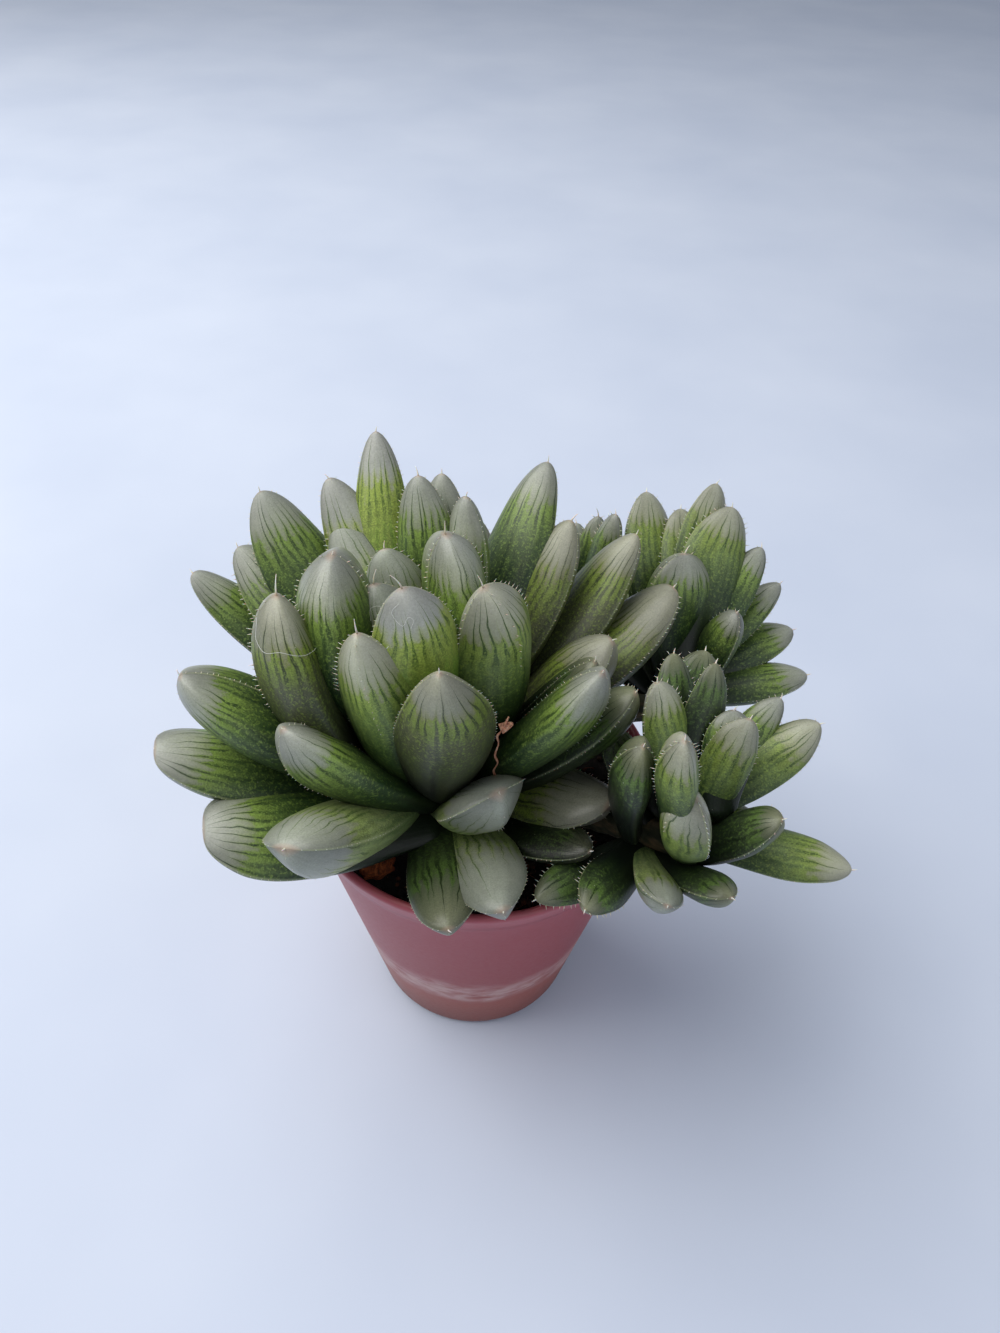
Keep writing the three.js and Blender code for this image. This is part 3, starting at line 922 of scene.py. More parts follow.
@dataclass(frozen=True)
class DryFinish(LayeredFinish):
    """A dried flower stalk and its bract: papery, tan, streaked along its length."""

    name: str = "dry_stalk_fibre"
    pitch: float = 0.35 * MM
    stretch: tuple[float, float, float] = (1.0, 1.0, 0.25)
    stops: tuple[tuple[float, str], ...] = ((0.3, "#84503c"), (0.5, "#b98468"), (0.75, "#d9b093"))
    strength: float = 0.5
    relief: float = 0.12 * MM
    roughness: float = 0.7
    detail: float = 4.0
    soft: float = 0.15


@dataclass(frozen=True)
class StemFinish(LayeredFinish):
    """An old stem: corky brown scars of lost leaves over green."""

    name: str = "stem_cork"
    pitch: float = 1.6 * MM
    stretch: tuple[float, float, float] = (0.5, 0.5, 1.6)
    stops: tuple[tuple[float, str], ...] = ((0.3, "#151b0e"), (0.5, "#353721"), (0.7, "#6b563c"))
    strength: float = 0.6
    relief: float = 0.3 * MM
    roughness: float = 0.75


@dataclass(frozen=True)
class FluffFinish:
    """Loose lint on the leaves: white, soft and thin."""

    tuft: float = 0.8 * MM

    def material(self) -> bpy.types.Material:
        """Builds the lint, a little uneven along its length.

        Returns:
            The material.
        """
        made, tree, shader = start_material("lint_cotton")
        place = add(tree, "TexCoord").outputs["Object"]
        uneven = add(tree, "TexNoise", {"Vector": place, "Scale": 1 / self.tuft})
        colour = add(tree, "ValToRGB", {0: uneven}, stops=((0.3, "#cfd2cd"), (0.7, "#f1f1ec")))
        fill(tree, shader, {"Base Color": colour, "Roughness": 0.8})
        return made


# The leaves

class Stud(Enum):
    """How toothed a leaf's margins are: the tooth's length in millimetres."""

    FINE = 0.24
    PLAIN = 0.4
    BOLD = 0.72


@dataclass(frozen=True)
class Leaf:
    """One leaf: the way it points, its size, how it sits, and how it looks.

    Fields:
        bearing, rise: degrees round the vertical and above the level.
        length, width: millimetres.
        shift: how far it roots to the right of its bearing.
        turn: degrees about its own length.
        point: how pointed its end is. A lower power makes a blunter end.
        tone: its colours.
        window: the share of its length where the window starts.
        awn: the length of its end bristle.
        stud: its teeth.
        keel: how sharp its back is towards the tip, from 0 for round to 1 for a crease.
        twisted: whether its margins lie towards the rosette's axis and away from it.
        light: how light it is against its tone: partly its own colour, partly painted light and shade for
            where it sits in the plant.
    """

    bearing: float
    rise: float
    length: float
    width: float
    shift: float = 0.0
    turn: float = 0.0
    point: float = 0.56
    tone: Tone = Tone.GREEN
    window: float = 0.68
    awn: float = 1.0
    stud: Stud = Stud.PLAIN
    keel: float = 0.2
    twisted: bool = False
    light: float = 1.0


@dataclass(frozen=True)
class Tier:
    """Leaves that share their height from the crown, their bend and how far out they root."""

    height: float
    bend: float
    out: float
    leaves: tuple[Leaf, ...]


class LeafShape:
    """A leaf's surface: a lens above and a keeled belly below, bent along a gentle arc."""

    WIDEST_AT = 0.58
    BASE_WIDTH = 0.62
    TOP = 0.10
    CROWN = 0.12
    BELLY = 0.37
    BELLY_AT_FOOT = 0.7
    KEEL_ROUND = 0.03
    SINK = 2.2
    FOCUS = 45.0
    STATIONS = 46
    SIDES = 40
    VEIN_SPACING = 1.3
    WINDOW_HEIGHT = 12.0
    LENS = 1.4
    WAVE = 0.022
    BOW = 0.03
    TOOTHED_KEEL = 0.5
    MARGIN_TEETH = (0.42, 0.72)
    KEEL_TEETH = (0.6, 1.1)
    LAST_TOOTH = 0.985

    def __init__(
        self, leaf: Leaf, tier: Tier, crown: np.ndarray, axis: np.ndarray, seed: int
    ) -> None:
        """Places the leaf on its rosette.

        Args:
            leaf: the leaf.
            tier: the tier that it grows in.
            crown: the rosette's crown.
            axis: the way the rosette's stem points.
            seed: what draws the leaf's unevenness.
        """
        self.leaf = leaf
        self.half = math.radians(tier.bend) / 2
        self.along = heading(leaf.bearing, leaf.rise)
        out = heading(leaf.bearing, 0) * tier.out
        self.root = crown + axis * tier.height + out + heading(leaf.bearing - 90, 0) * leaf.shift
        inward = crown + axis * (tier.height + self.FOCUS) - self.root - self.along * leaf.length / 2
        self.face = unit(inward - self.along * inward.dot(self.along))
        self.across = np.cross(self.face, self.along)
        self.rng = np.random.default_rng(seed)
        self.phases = self.rng.uniform(0, 2 * np.pi, 6)

    def frame_at(self, share: np.ndarray) -> tuple[np.ndarray, np.ndarray, np.ndarray]:
        """The middle line and its two ways, from the arc that the leaf bends along.

        With q from -half to half, the middle line is root + along L (sin q + sin half) / 2 sin half
        - face L (cos q - cos half) / 2 sin half. Its two ways turn by the leaf's own turn.

        Args:
            share: shares of the leaf's length.

        Returns:
            The points, the way across the leaf and the way out of its face, a row a share.
        """
        length, turn = self.leaf.length, math.radians(self.leaf.turn)
        q = (2 * self.half * (share - 0.5))[:, None]
        spread = 2 * math.sin(self.half)
        forward = length * (np.sin(q) + math.sin(self.half)) / spread
        back = length * (np.cos(q) - math.cos(self.half)) / spread
        middle = self.root + self.along * forward - self.face * back
        normal = -self.along * np.sin(q) + self.face * np.cos(q)
        width_way = self.across * math.cos(turn) - normal * math.sin(turn)
        face_way = normal * math.cos(turn) + self.across * math.sin(turn)
        return middle, width_way, face_way

    def outline(self, share: np.ndarray) -> np.ndarray:
        """Half the width against the greatest: a swelling sine, then a rounded, pointed end.

        Args:
            share: shares of the leaf's length.

        Returns:
            base + (1 - base) sin^1.3 below the widest place, and (1 - late^2)^point above it.
        """
        early = np.clip(share / self.WIDEST_AT, 0, 1)
        late = np.clip((share - self.WIDEST_AT) / (1 - self.WIDEST_AT), 0, 1)
        swell = self.BASE_WIDTH + (1 - self.BASE_WIDTH) * np.sin(np.pi / 2 * early) ** 1.3
        point = np.maximum(1 - late**2, 0) ** self.leaf.point
        return np.where(share < self.WIDEST_AT, swell, point)

    def at(self, share: np.ndarray, turn: np.ndarray) -> np.ndarray:
        """Points of the skin: middle + width way reach x + face way depth.

        Here x is cos t, and the depth is top lens above and -belly ((1 - keel) lens + keel ridge)
        below, where lens is |sin t|^1.4 and ridge is 1 - |x| with its corner rounded, so the
        belly rises to a keel towards the tip. A twisted leaf has its sharp edges above and
        below: x is |cos t|^1.4 with its sign, lens is |sin t|, and there is no keel. Slow waves
        a fiftieth of the width high keep two leaves from being alike.

        Args:
            share: shares of the length, an array of n.
            turn: angles round the section, an array of m.

        Returns:
            An array of shape (n, m, 3).
        """
        width = self.leaf.width
        middle, width_way, face_way = self.frame_at(share)
        taper = (1 - np.clip((share - 0.6) / 0.4, 0, 1) ** 2.6) ** 0.6
        swell = np.sin(np.pi / 2 * np.minimum(share / 0.7, 1)) ** 2
        top = (width * (self.TOP + self.CROWN * swell) * taper)[:, None]
        full = np.sin(np.pi / 2 * np.minimum(share / 0.5, 1))
        full = self.BELLY_AT_FOOT + (1 - self.BELLY_AT_FOOT) * full
        belly = (width * self.BELLY * full * taper)[:, None]
        keel = 0 if self.leaf.twisted else self.leaf.keel
        keel = keel * np.clip((share - 0.4) / 0.4, 0, 1)[:, None]
        reach = (width / 2 * self.outline(share))[:, None]
        x, lens = np.cos(turn)[None, :], np.abs(np.sin(turn))[None, :]
        if self.leaf.twisted:
            x = np.sign(x) * np.abs(x) ** self.LENS
        else:
            lens = lens**self.LENS
        corner = self.KEEL_ROUND
        ridge = math.sqrt(1 + corner) - np.sqrt(x * x + corner)
        ridge = ridge / (math.sqrt(1 + corner) - math.sqrt(corner))
        below = (1 - keel) * lens + keel * ridge
        depth = np.where(np.sin(turn)[None, :] >= 0, top * lens, -belly * below)
        a, b, c, d, e, f = self.phases
        s = share[:, None]
        wave = np.sin(7 * s + a) * np.sin(2 * turn + b) + 0.6 * np.sin(13 * s + c + turn)
        wave = wave + 0.4 * np.sin(5 * s + d) * np.cos(3 * turn + e)
        ease = smooth(0.0, 0.3, s) * smooth(1.0, 0.8, s)
        grown = 1 + self.WAVE * wave * ease
        bow = self.BOW * width * np.sin(np.pi * s * 1.4 + f) * ease
        return (
            middle[:, None, :]
            + width_way[:, None, :] * (reach * x * grown + bow)[..., None]
            + face_way[:, None, :] * (depth * grown)[..., None]
        )

    def skin(self) -> Skin:
        """The leaf's closed skin.

        Returns:
            The skin, with its uv across from margin to margin and along, and the leaf's marks.
        """
        share = 1 - (1 - np.linspace(0, 1, self.STATIONS, endpoint=False)) ** 1.6
        turn = 2 * np.pi * np.arange(self.SIDES) / self.SIDES
        rings = self.at(share, turn)
        base = self.root - self.along * self.SINK + self.face * self.SINK / 2
        tip = self.frame_at(np.array([1.0]))[0][0]
        made = tube_skin(rings, base, tip)

        # Across runs from 1 at the first margin to 0 at the other by the length of the skin
        half = self.SIDES // 2
        quarter = half // 2 if self.leaf.twisted else 0
        step = np.linalg.norm(np.roll(rings, -1, axis=1) - rings, axis=-1)
        step = np.roll(step, -quarter, axis=1)
        upper = np.cumsum(step[:, :half], axis=1) / step[:, :half].sum(1, keepdims=True)
        lower = np.cumsum(step[:, half:], axis=1) / step[:, half:].sum(1, keepdims=True)
        zero = np.zeros((self.STATIONS, 1))
        across = np.concatenate([1 - zero, 1 - upper[:, :-1], zero, lower[:, :-1]], axis=1)
        across = np.roll(across, quarter, axis=1)
        along = np.repeat(share[:, None], self.SIDES, axis=1)
        uv = np.stack([across.ravel(), along.ravel()], axis=-1)
        made.uv = np.concatenate([uv, [[0.5, 0.0], [0.5, 1.0]]])
        above = np.roll(np.arange(self.SIDES) < half, quarter)
        above = np.broadcast_to(above, (self.STATIONS, self.SIDES)).ravel()
        veins = max(5, round(self.leaf.width * 1.15 / self.VEIN_SPACING))
        return made.marked(
            seed=self.rng.uniform(0, 40),
            veins=veins,
            window=self.leaf.window,
            light=self.leaf.light,
            scale=self.WINDOW_HEIGHT / (1 - self.leaf.window),
            upper=np.append(above.astype(float), [1, 1]),
        )

    def teeth(self) -> Skin:
        """The teeth: three-sided spikes that lean forward.

        Returns:
            The teeth on both margins, and on the keel where it is sharp.
        """
        first = math.pi / 2 if self.leaf.twisted else 0.0
        spikes = [self.spikes(turn, *self.MARGIN_TEETH) for turn in (first, first + math.pi)]
        if self.leaf.keel >= self.TOOTHED_KEEL and not self.leaf.twisted:
            spikes.append(self.spikes(1.5 * math.pi, *self.KEEL_TEETH))
        return merged(spikes)

    def spikes(self, turn: float, start: float, pitch: float) -> Skin:
        """A row of teeth along the leaf.

        Args:
            turn: where round the section they stand.
            start: the share of the leaf's length where they begin, small at first.
            pitch: the mean distance between two.

        Returns:
            The row, with the mark "along" from 0 at a tooth's foot to 1 at its point.
        """
        size = self.leaf.stud.value
        count = max(int(self.leaf.length * (self.LAST_TOOTH - start) / pitch), 4)
        jitter = self.rng.uniform(-0.3, 0.3, count) / (2.2 * count)
        share = np.linspace(start, self.LAST_TOOTH, count) + jitter
        foot = self.at(share, np.array([turn]))[:, 0, :]
        _, width_way, face_way = self.frame_at(share)
        out = width_way * math.cos(turn) + face_way * math.sin(turn)
        forward = unit(np.gradient(foot, axis=0))
        grown = smooth(start - 0.1, 0.75, share)[:, None]
        length = size * self.rng.uniform(0.3, 1.2, (count, 1)) * grown
        lean = self.rng.uniform(0.2, 0.9, (count, 1))
        point = foot + unit(out + forward * lean) * length
        thick = 0.06 + 0.05 * size
        side = unit(np.cross(out, forward))
        root = foot - out * 0.08
        back = root - forward * thick * 0.5
        corners = [root + forward * thick, back + side * thick * 0.8, back - side * thick * 0.8]
        points = np.stack([*corners, point], axis=1).reshape(-1, 3)
        first = 4 * np.arange(count)[:, None]
        shape = np.array([[0, 2, 1], [0, 1, 3], [1, 2, 3], [2, 0, 3]])
        faces = (first[:, :, None] + shape[None]).reshape(-1, 3)
        return Skin(points, [faces]).marked(along=np.tile([0, 0, 0, 1.0], count), withered=0)

    def bristle(self) -> Skin:
        """The bristle at the tip: a tapering hair that curls as it goes on.

        Returns:
            The bristle, with the mark "withered" at its brown foot.
        """
        share = np.linspace(0, 1, 9)[:, None]
        middle, width_way, face_way = self.frame_at(np.array([0.97, 1.0]))
        ahead = unit(middle[1] - middle[0])
        sway = width_way[1] * self.rng.uniform(-0.45, 0.45) + face_way[1] * self.rng.uniform(-0.2, 0.4)
        length = self.leaf.awn
        path = middle[1] - ahead * 0.3 + length * (ahead * share + sway * share**2)
        radius = 0.13 * (1 - share[:, 0]) ** 0.9 + 0.028
        hair = strand(path, radius, 6)
        return hair.marked(withered=smooth(0.4, 0.0, hair.marks["along"]))


# The rosettes

@dataclass
class Rosette:
    """A rosette: its stem's foot, its crown, the way it leans, and its tiers of leaves.

    Fields:
        name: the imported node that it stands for.
        foot, crown: points on the stem.
        lean: the heading and the angle of its lean.
        stem, heart: the radii of its stem and of the heart that the leaves grow from.
        heart_span: where the heart starts and ends along the stem, from the crown.
        tiers: its leaves.
        seed: what draws its leaves' unevenness.
    """

    name: str
    foot: tuple[float, float, float]
    crown: tuple[float, float, float]
    lean: tuple[float, float]
    stem: float
    heart: float
    heart_span: tuple[float, float]
    tiers: tuple[Tier, ...]
    seed: int

    STEPS = 60
    SIDES = 24
    SCAR_PITCH = 1.4
    SCAR_DEPTH = 0.05

    def __post_init__(self) -> None:
        """Places every leaf."""
        self.axis = heading(self.lean[0], 90 - self.lean[1])
        at = np.array(self.crown)
        pairs = [(tier, leaf) for tier in self.tiers for leaf in tier.leaves]
        self.shapes = [
            LeafShape(leaf, tier, at, self.axis, self.seed * 1000 + i)
            for i, (tier, leaf) in enumerate(pairs)
        ]

    def stem_skin(self) -> Skin:
        """The stem and its heart as one turned bar, ringed by leaf scars.

        The bar runs up a curve from the foot to the top of the heart. Its radius goes from the
        stem's to the heart's and narrows again to the growing point, with rings 1.4 mm apart.

        Returns:
            The bar's skin.
        """
        foot, crown = np.array(self.foot), np.array(self.crown)
        start = crown + self.axis * self.heart_span[0]
        top = crown + self.axis * self.heart_span[1]
        bend = np.array([foot[0], foot[1], start[2] - 4])
        path = spline(np.array([foot, bend, start + self.axis * 2, crown, top]), self.STEPS)
        gone = np.linspace(0, 1, self.STEPS)
        radius = self.stem + (self.heart - self.stem) * smooth(0.40, 0.62, gone)
        radius = radius * (1 - 0.5 * smooth(0.75, 1.0, gone))
        length = np.linalg.norm(np.diff(path, axis=0), axis=1).sum()
        scars = np.sin(2 * np.pi * gone * length / self.SCAR_PITCH)
        return strand(path, radius * (1 + self.SCAR_DEPTH * scars), self.SIDES)

    def build(
        self,
        skins: dict[Tone, bpy.types.Material],
        horn: bpy.types.Material,
        cork: bpy.types.Material,
    ) -> None:
        """Makes the stem, every leaf, and the teeth and bristles as one piece.

        Args:
            skins: a leaf material for each tone.
            horn: the material of the teeth and bristles.
            cork: the stem's material.
        """
        make_piece(f"{self.name}_stem", self.stem_skin(), cork, (self.name,))
        for i, shape in enumerate(self.shapes, 1):
            finish = skins[shape.leaf.tone]
            make_piece(f"{self.name}_leaf_{i:02d}", shape.skin(), finish, (self.name,))
        horns = [s for shape in self.shapes for s in (shape.teeth(), shape.bristle())]
        make_piece(f"{self.name}_teeth", merged(horns), horn, (self.name,))


def main_rosette() -> Rosette:
    """The large rosette on the left, from its heart down to the leaves over the rim.

    Returns:
        The rosette.
    """
    fern, lime, dusk, deep, pale = Tone.FERN, Tone.LIME, Tone.DUSK, Tone.DEEP, Tone.PALE
    bold, fine = Stud.BOLD, Stud.FINE
    heart = Tier(5, 8, 3.5, (
        Leaf(125, 38, 27, 10, 1, window=0.66, tone=pale, stud=bold),
        Leaf(120, 62, 21, 9.5, 1, window=0.64, tone=pale, awn=1.4, stud=bold, keel=0.5, light=1.1),
        Leaf(98, 82, 25, 14.5, 4, window=0.74, awn=2.4, stud=bold, twisted=True, light=1.08),
        Leaf(156, 82, 20.5, 11, -0.5, window=0.7, tone=pale, awn=2.2, light=0.9),
    ))
    upper = Tier(1.5, 13, 3.5, (
        Leaf(100, 48, 40.5, 8.5, -4, window=0.78, tone=lime),
        Leaf(127, 43, 36, 9.5, 2.5, window=0.73, tone=lime),
        Leaf(101, 62, 33.5, 10, 1.5, window=0.79, awn=1.6),
        Leaf(149, 28, 35, 12.5, 1, window=0.78, stud=bold, light=0.93),
        Leaf(150, 75, 29.5, 18, -4, 2, point=0.48, window=0.81, awn=0.7, stud=bold, twisted=True),
        Leaf(247, 82, 32, 12.5, -1.5, window=0.81, tone=lime, awn=2.6, light=1.08),
        Leaf(72, 98, 28.5, 13.5, 8.2, 12, window=0.76, tone=fern, awn=2.2, stud=bold, keel=0.5, light=1.1),
        Leaf(62, 40, 40, 11.5, window=0.8, awn=1.2, keel=0.4, light=0.86),
    ))
    middle = Tier(-2.5, 15, 4, (
        Leaf(137, 41, 41.5, 13, -1, window=0.8),
        Leaf(90, 60, 37, 9.5, window=0.79),
        Leaf(77, 69, 35, 9.5, window=0.77),
        Leaf(49, 46, 35.5, 11.5, window=0.72, tone=dusk, awn=1.6, light=0.88),
    ))
    bowed = Tier(-4, 30, 8, (
        Leaf(177, 72, 34, 15, -5, 8, window=0.82, tone=dusk, awn=2.6, stud=bold, twisted=True),
    ))
    lower = Tier(-6, 17, 4, (
        Leaf(161, 29, 42, 9.5, 4, -4, point=0.46, window=0.84, stud=fine),
        Leaf(226, 75, 35.5, 11.5, -1, 3, point=0.62, window=0.78, tone=fern, awn=2.4, stud=bold,
             keel=0.5, light=1.2),
        Leaf(276, 70, 36.5, 13, 0, 20, point=0.7, window=0.83, tone=dusk, awn=1),
        Leaf(38, 39, 41.5, 12, -1, window=0.8, tone=dusk),
        Leaf(31, 30, 40, 13.5, 1.5, point=0.42, window=0.71, tone=dusk, stud=bold, light=0.85),
        Leaf(12, 44, 29, 13.5, -1, window=0.72, tone=dusk, light=0.95),
        Leaf(206, 49, 28, 13, -4.5, window=0.79, awn=0.5, twisted=True, light=1.08),
        Leaf(192, 38, 37, 15.5, window=0.85, twisted=True),
        Leaf(344, 55, 32.5, 12.5, 1, 7, window=0.79, awn=1, twisted=True, light=1.05),
        Leaf(357, 53, 28.5, 10, window=0.82, tone=deep, twisted=True),
        Leaf(112, 38, 37, 11.5, window=0.78),
        Leaf(84, 36, 36, 11.5, window=0.78),
        Leaf(136, 29, 38, 11.5, window=0.78),
    ))
    skirt = Tier(-9.5, 17, 4, (
        Leaf(195, 21, 38, 14, 2, 4, point=0.32, window=0.81, awn=0.4, stud=fine, keel=0.3),
        Leaf(200, 16, 32, 15, -6, 25, point=0.32, window=0.81, awn=0.4, stud=fine, keel=0.3),
        Leaf(243, 31, 31, 15, 4, -10, point=0.4, window=0.7, tone=pale, stud=fine, keel=0.7),
        Leaf(353, 46, 32, 12, window=0.82, tone=deep, stud=bold),
        Leaf(329, 20, 23, 11.5, -3.5, point=0.5, window=0.5, tone=dusk, keel=0.9, light=0.78),
        Leaf(301, 50, 21.5, 12.5, 1, 3, window=0.48, tone=pale, awn=0.5, keel=0.9),
        Leaf(157, 14, 28, 11, window=0.78),
        Leaf(122, 15, 35, 12, window=0.78),
        Leaf(93, 18, 33, 11.5, window=0.78),
    ))
    ground = Tier(-12.5, 13, 4, (
        Leaf(286, 23, 27, 10.5, -1, point=0.6, window=0.38, tone=pale, awn=0.6, stud=fine, keel=1,
             light=0.9),
        Leaf(280, 17, 25.5, 10, 3, window=0.62, tone=deep, stud=fine, keel=0.6, light=0.82),
        Leaf(321, 22, 24, 8.5, window=0.84, tone=deep, light=0.3),
    ))
    return Rosette(
        name="rosette_main", foot=(-4.5, -5, 34), crown=(-7, -4, 62), lean=(156, 13),
        stem=4, heart=5.2, heart_span=(-14, 5), seed=1,
        tiers=(heart, upper, middle, bowed, lower, skirt, ground),
    )


def front_right_rosette() -> Rosette:
    """The offset that leans out over the rim at the front right.

    Returns:
        The rosette.
    """
    fern, deep, pale = Tone.FERN, Tone.DEEP, Tone.PALE
    bold, fine = Stud.BOLD, Stud.FINE
    heart = Tier(1, 7, 2.5, (
        Leaf(220, 77, 23.5, 9, -2, window=0.81, tone=fern, stud=bold, twisted=True, light=0.92),
        Leaf(85, 58, 14, 8, 4.5, window=0.79),
        Leaf(125, 62, 18.5, 8, 1, window=0.73, tone=fern, stud=bold, keel=0.6, light=1.12),
        Leaf(94, 42, 21, 7, -1, window=0.83, tone=deep, stud=bold),
        Leaf(77, 54, 20, 6, -0.5, window=0.82, tone=deep),
    ))
    middle = Tier(-2, 9, 2.5, (
        Leaf(243, 80, 20, 10, 5.5, window=0.85, tone=deep, twisted=True, light=0.86),
        Leaf(249, 71, 18.5, 9.5, -1.5, window=0.62, tone=fern, stud=bold, keel=0.5),
        Leaf(45, 65, 17.5, 7, 1, window=0.66, tone=fern),
        Leaf(73, 39, 23.5, 10, -2.5, window=0.86, tone=deep),
    ))
    outer = Tier(-4.5, 11, 2.5, (
        Leaf(24, 29, 24, 8, -2.5, window=0.74, tone=fern, light=1.06),
        Leaf(42, 35, 23, 6.5, -1, window=0.8),
        Leaf(130, 40, 16, 7, window=0.8, tone=deep),
    ))
    skirt = Tier(-7, 11, 2, (
        Leaf(345, 0, 24, 8, -3.5, window=0.75, tone=fern, stud=fine, light=1.1),
        Leaf(337, 48, 18, 8, window=0.82, tone=deep),
        Leaf(215, 4, 19.5, 6.5, 1.5, window=0.82, tone=deep, stud=bold, keel=0.5),
        Leaf(237, 14, 17, 7, 2.5, 4, window=0.84, tone=deep, stud=bold, keel=0.4),
        Leaf(272, 29, 15, 7, 2.5, window=0.6, tone=pale),
        Leaf(303, 27, 14, 7, 1.5, window=0.8, tone=deep),
        Leaf(62, 18, 20, 8, window=0.78),
        Leaf(15, 12, 12, 7, window=0.78),
    ))
    return Rosette(
        name="rosette_front_right", foot=(12.5, -8, 36), crown=(29, -17, 60), lean=(325, 18),
        stem=2.2, heart=3.2, heart_span=(-6.5, 2), seed=2,
        tiers=(heart, middle, outer, skirt),
    )


def back_right_rosette() -> Rosette:
    """The offset that leans out at the back right.

    Returns:
        The rosette.
    """
    fern, deep = Tone.FERN, Tone.DEEP
    bold = Stud.BOLD
    heart = Tier(1, 9, 2, (
        Leaf(100, 39, 24.5, 10, 3, window=0.79, tone=fern, stud=bold),
        Leaf(70, 48, 25, 10.5, window=0.78, tone=fern, stud=bold),
    ))
    middle = Tier(-1.5, 10, 2.5, (
        Leaf(103, 42, 29, 11, window=0.77, tone=fern, stud=bold),
        Leaf(77, 49, 30, 8.5, window=0.78, tone=fern),
        Leaf(92, 66, 19, 13.5, 0, 12, window=0.75, awn=1.6, stud=bold, light=0.93),
        Leaf(50, 43, 23, 6.5, window=0.78),
    ))
    outer = Tier(-5, 11, 2, (
        Leaf(30, 32, 24, 6.5, -3.5, window=0.78),
        Leaf(17, 14, 22, 8.5, -5, window=0.8),
        Leaf(6, 6, 21, 8.5, -2, window=0.74),
        Leaf(17, 67, 17.5, 8, window=0.8, light=0.68),
        Leaf(62, 22, 22, 8.5, window=0.78),
        Leaf(100, 16, 22, 9, window=0.8),
        Leaf(140, 24, 17, 8, window=0.8, tone=deep),
    ))
    return Rosette(
        name="rosette_back_right", foot=(13.5, 6.5, 36), crown=(31, 10, 62), lean=(17, 20),
        stem=2.2, heart=3, heart_span=(-7, 2), seed=3,
        tiers=(heart, middle, outer),
    )


def back_small_rosette() -> Rosette:
    """The young offset behind.

    Returns:
        The rosette.
    """
    lime, deep = Tone.LIME, Tone.DEEP
    bold = Stud.BOLD
    heart = Tier(0, 8, 1.5, (
        Leaf(77, 59, 21, 6, 1, window=0.82, awn=1.6, stud=bold, light=0.9),
        Leaf(51, 70, 23, 7, window=0.82, stud=bold, light=0.88),
        Leaf(88, 50, 19.5, 7, window=0.84),
        Leaf(135, 66, 15, 6.5, window=0.78),
    ))
    outer = Tier(-4, 11, 1.5, (
        Leaf(120, 32, 19, 8, window=0.78),
        Leaf(86, 22, 21, 8.5, window=0.78, tone=lime),
        Leaf(52, 24, 20, 8, window=0.78),
        Leaf(150, 24, 16, 7.5, window=0.78, tone=deep),
        Leaf(18, 26, 17, 7.5, window=0.78),
        Leaf(200, 40, 12, 6.5, window=0.78, tone=deep),
    ))
    return Rosette(
        name="rosette_back_small", foot=(8, 13.5, 36), crown=(14, 20, 58), lean=(60, 15),
        stem=2, heart=2.6, heart_span=(-6, 1.5), seed=4,
        tiers=(heart, outer),
    )


# The pot and what fills it

